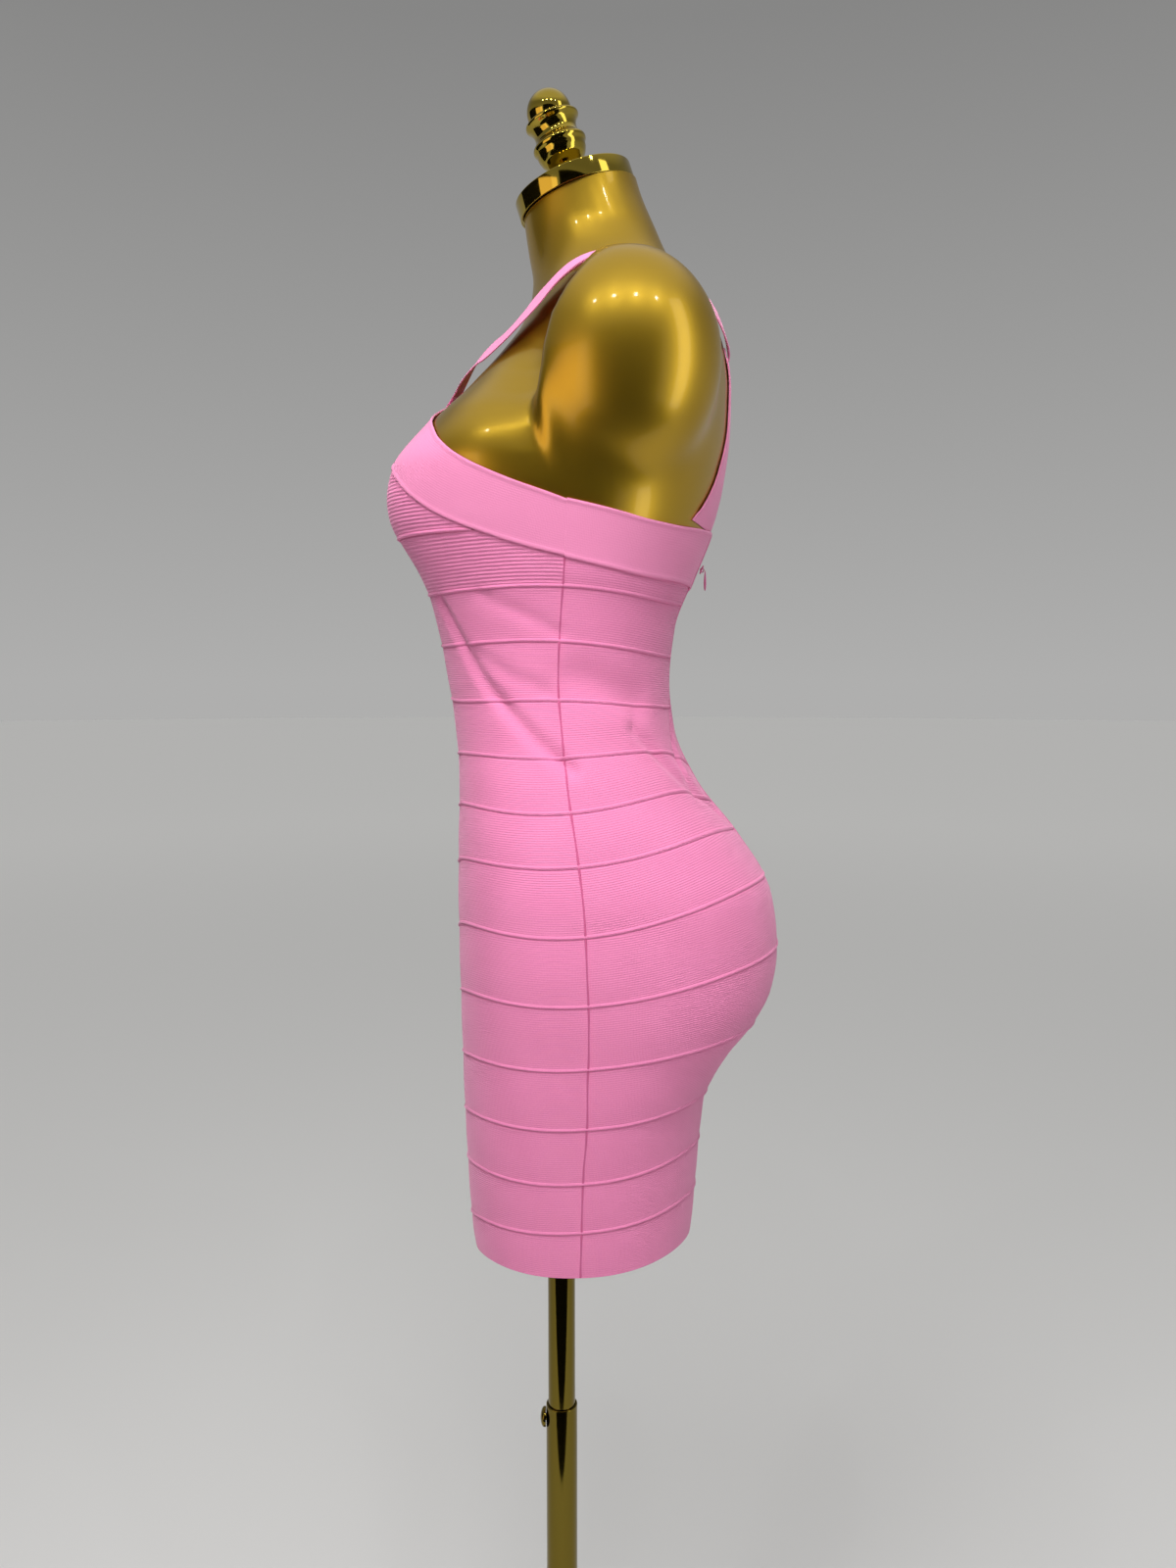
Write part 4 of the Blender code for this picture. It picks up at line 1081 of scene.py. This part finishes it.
# %% [markdown]
# ## Turned metal
#
# The finial, cap, tubes, base and screw are all round, so each is a profile
# spun about an axis. The helper starts from a single point, extrudes it along
# the profile, spins it once round, and then merges its doubled points and turns
# its normals outwards.

# %% A helper for turned pieces
def turned(name, profile, steps, body, node, mat, closed=False, turn_x=0.0, place=(0, 0, 0)):
    """A solid of (radius, height) rows spun about Z, then tipped and put in its place."""
    deselect_all()
    bpy.ops.mesh.primitive_plane_add(size=0.001)
    obj = bpy.context.object
    obj.name = obj.data.name = name
    bpy.ops.object.mode_set(mode="EDIT")
    bpy.ops.mesh.select_all(action="SELECT")
    bpy.ops.mesh.merge(type="CENTER")
    bpy.ops.transform.translate(value=(profile[0][0], 0, profile[0][1]))
    for (r0, z0), (r1, z1) in zip(profile, profile[1:]):
        bpy.ops.mesh.extrude_region_move(TRANSFORM_OT_translate={"value": (r1 - r0, 0, z1 - z0)})
    if closed:
        (r0, z0), (r1, z1) = profile[-1], profile[0]
        bpy.ops.mesh.extrude_region_move(TRANSFORM_OT_translate={"value": (r1 - r0, 0, z1 - z0)})
    bpy.ops.mesh.select_all(action="SELECT")
    bpy.ops.mesh.spin(steps=steps, angle=math.tau, center=(0, 0, 0), axis=(0, 0, 1))
    bpy.ops.mesh.select_all(action="SELECT")
    bpy.ops.mesh.remove_doubles(threshold=0.00002)
    bpy.ops.mesh.normals_make_consistent(inside=False)
    bpy.ops.object.mode_set(mode="OBJECT")
    obj.rotation_euler = (turn_x, 0, 0)
    obj.location = place
    bpy.ops.object.transform_apply(location=True, rotation=True, scale=True)
    bpy.ops.object.shade_smooth_by_angle(angle=math.radians(35))
    obj.data.materials.append(mat)
    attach(obj, body)
    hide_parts(node)
    print(f"{name}: {len(obj.data.polygons)} faces")


def rounded(profile, radius, steps=4):
    """A profile with each inner corner rounded off."""
    rows = np.array(profile, float)
    out = [rows[0]]
    for before, corner, after in zip(rows, rows[1:], rows[2:]):
        a, b = before - corner, after - corner
        r = min(radius, np.linalg.norm(a) / 2.2, np.linalg.norm(b) / 2.2)
        start, end = corner + unit(a) * r, corner + unit(b) * r
        for t in np.linspace(0, 1, steps + 1):
            out.append((1 - t) ** 2 * start + 2 * t * (1 - t) * corner + t * t * end)
    out.append(rows[-1])
    return [tuple(map(float, row)) for row in out]


# %% Cap and finial
CAP_RADIUS, CAP_HEIGHT = 0.0492, 0.0140
CAP_LIP, CAP_RECESS = 0.0012, 0.0006    # width of the lip on its underside, and the hollow inside it
cap_outline = ((0.0, CAP_HEIGHT), (CAP_RADIUS, CAP_HEIGHT), (CAP_RADIUS, 0.0), (CAP_RADIUS - CAP_LIP, 0.0),
               (CAP_RADIUS - CAP_LIP, CAP_RECESS), (0.0, CAP_RECESS))
cap_profile = rounded(cap_outline, 0.0008)
turned("neck_cap_polished", cap_profile, 128, "form", "neck_cap", mirror_gold, turn_x=NECK_TILT,
       place=tuple(CAP_FOOT))

# radius and height above the cap
FINIAL_PROFILE = (
    (0.0114, 0.0004), (0.0112, 0.0024), (0.0104, 0.0034), (0.0104, 0.0146), (0.0120, 0.0160),
    (0.0150, 0.0180), (0.0182, 0.0215), (0.0202, 0.0262), (0.0205, 0.0295), (0.0222, 0.0322),
    (0.0222, 0.0346), (0.0196, 0.0372), (0.0182, 0.0395), (0.0176, 0.0425), (0.0181, 0.0458),
    (0.0196, 0.0490), (0.0223, 0.0518), (0.0223, 0.0536), (0.0200, 0.0552), (0.0178, 0.0560))
BALL_MIDDLE, BALL_RADIUS = 0.0600, 0.0182
start = math.asin((FINIAL_PROFILE[-1][1] - BALL_MIDDLE) / BALL_RADIUS)
ball = [(BALL_RADIUS * math.cos(a), BALL_MIDDLE + BALL_RADIUS * math.sin(a))
        for a in np.linspace(math.pi / 2, start, 18)]
ball[0] = (0.0, BALL_MIDDLE + BALL_RADIUS)
finial_rows = [*ball, *rounded(FINIAL_PROFILE[::-1], 0.0012, 3)[1:], (0.0, FINIAL_PROFILE[0][1])]
cap_top = CAP_FOOT + NECK_UP * CAP_HEIGHT
turned("finial_polished", finial_rows, 96, "form", "finial", mirror_gold, turn_x=NECK_TILT,
       place=tuple(cap_top))

# %% The stand
BASE_RADIUS, BASE_HEIGHT = 0.185, 0.010
HUB_RADIUS, HUB_TOP = 0.032, 0.026
OUTER_RADIUS, OUTER_TOP = 0.0138, 0.598
MAST_RADIUS, MAST_BOTTOM, MAST_TOP = 0.0120, 0.140, 0.900
TUBE_WALL = 0.0015
SCREW_HEIGHT = 0.585
HEAD_RADIUS, HEAD_RIM, HEAD_DOME = 0.0085, 0.0015, 0.0035
SHANK_RADIUS = 0.0030
base_rows = rounded(((0.0, BASE_HEIGHT), (BASE_RADIUS, BASE_HEIGHT), (BASE_RADIUS, 0.0), (0.0, 0.0)),
                    0.0024)
turned("base_polished", base_rows, 160, "stand", "base", shade_darkened_gold)
bore = OUTER_RADIUS + GAP
hub_rows = rounded(((bore, HUB_TOP), (0.0195, HUB_TOP), (0.0215, HUB_TOP - 0.004), (HUB_RADIUS, 0.0145),
                    (HUB_RADIUS, BASE_HEIGHT + GAP), (bore, BASE_HEIGHT + GAP)), 0.0018)
turned("hub_polished", hub_rows, 96, "stand", "base_hub", shade_darkened_gold, closed=True)
inside = OUTER_RADIUS - TUBE_WALL
outer_rows = rounded(((inside, OUTER_TOP), (OUTER_RADIUS, OUTER_TOP), (OUTER_RADIUS, BASE_HEIGHT + GAP),
                      (inside, BASE_HEIGHT + GAP)), 0.0007)
turned("outer_tube_polished", outer_rows, 96, "stand", "outer_tube", shade_darkened_gold, closed=True)
inside = MAST_RADIUS - TUBE_WALL
mast_rows = rounded(((inside, MAST_TOP), (MAST_RADIUS, MAST_TOP), (MAST_RADIUS, MAST_BOTTOM),
                     (inside, MAST_BOTTOM)), 0.0005)
turned("mast_polished", mast_rows, 96, "mast", "mast_tube", shade_darkened_gold, closed=True)
under_head = OUTER_RADIUS + GAP
screw_rows = [(HEAD_RADIUS * math.sin(a), under_head + HEAD_RIM + HEAD_DOME * math.cos(a))
              for a in np.linspace(0, math.pi / 2, 12)]
screw_rows += [(HEAD_RADIUS, under_head), (SHANK_RADIUS, under_head), (SHANK_RADIUS, MAST_RADIUS + GAP),
               (0.0, MAST_RADIUS + GAP)]
turned("thumb_screw_polished", screw_rows, 48, "clamp_screw", "clamp_screw", shade_darkened_gold,
       turn_x=math.pi / 2, place=(0, 0, SCREW_HEIGHT))

# %% [markdown]
# ## Slider and pull tab
#
# The slider is a small bevelled plate with a raised bridge, and the tab is a
# flat drop of metal that hangs from it. Both are enamelled to match the cloth.

# %% The slider
SLIDER_SIZE = (0.0056, 0.0012, 0.0072)
low, high = (np.array(corner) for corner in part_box("zip_slider"))
seat = (low + high) / 2
outward = normals(seat[None])[0]
lean = math.atan2(outward[2], outward[1])
deselect_all()
bpy.ops.mesh.primitive_cube_add(size=1, location=tuple(seat), scale=SLIDER_SIZE, rotation=(lean, 0, 0))
slider = bpy.context.object
slider.name = slider.data.name = "slider_enamelled"
bpy.ops.object.mode_set(mode="EDIT")
bpy.ops.mesh.bevel(offset=0.00035, segments=3)
bpy.ops.object.mode_set(mode="OBJECT")
deselect_all()
bridge_place = seat + outward * 0.0006
bpy.ops.mesh.primitive_torus_add(location=tuple(bridge_place), rotation=(lean, math.pi / 2, 0),
                                 major_radius=0.0016, minor_radius=0.0005,
                                 major_segments=28, minor_segments=10)
slider.select_set(True)
bpy.context.view_layer.objects.active = slider
bpy.ops.object.join()
bpy.ops.object.transform_apply(location=True, rotation=True, scale=True)
bpy.ops.object.shade_smooth_by_angle(angle=math.radians(40))
slider.data.materials.append(enamel)
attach(slider, "form")
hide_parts("zip_slider")
print("slider at", [round(float(v), 4) for v in seat])

# %% The pull tab
low, high = (np.array(corner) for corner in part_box("zip_pull_tab"))
middle, size = (low + high) / 2, high - low
deselect_all()
bpy.ops.mesh.primitive_uv_sphere_add(segments=32, ring_count=24, radius=0.5)
tab = bpy.context.object
tab.name = tab.data.name = "pull_tab_enamelled"
for vert in tab.data.vertices:
    drop = 0.5 - vert.co.z
    waist = 0.50 + 0.62 * drop - 0.12 * drop ** 4
    vert.co = (middle[0] + vert.co.x * waist * size[0], middle[1] + vert.co.y * waist * size[1],
               high[2] - drop * size[2])
bpy.ops.object.shade_smooth()
tab.data.materials.append(enamel)
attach(tab, "pull_tab")
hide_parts("zip_pull_tab")
print("tab", round(float(size[2]), 4), "m tall")
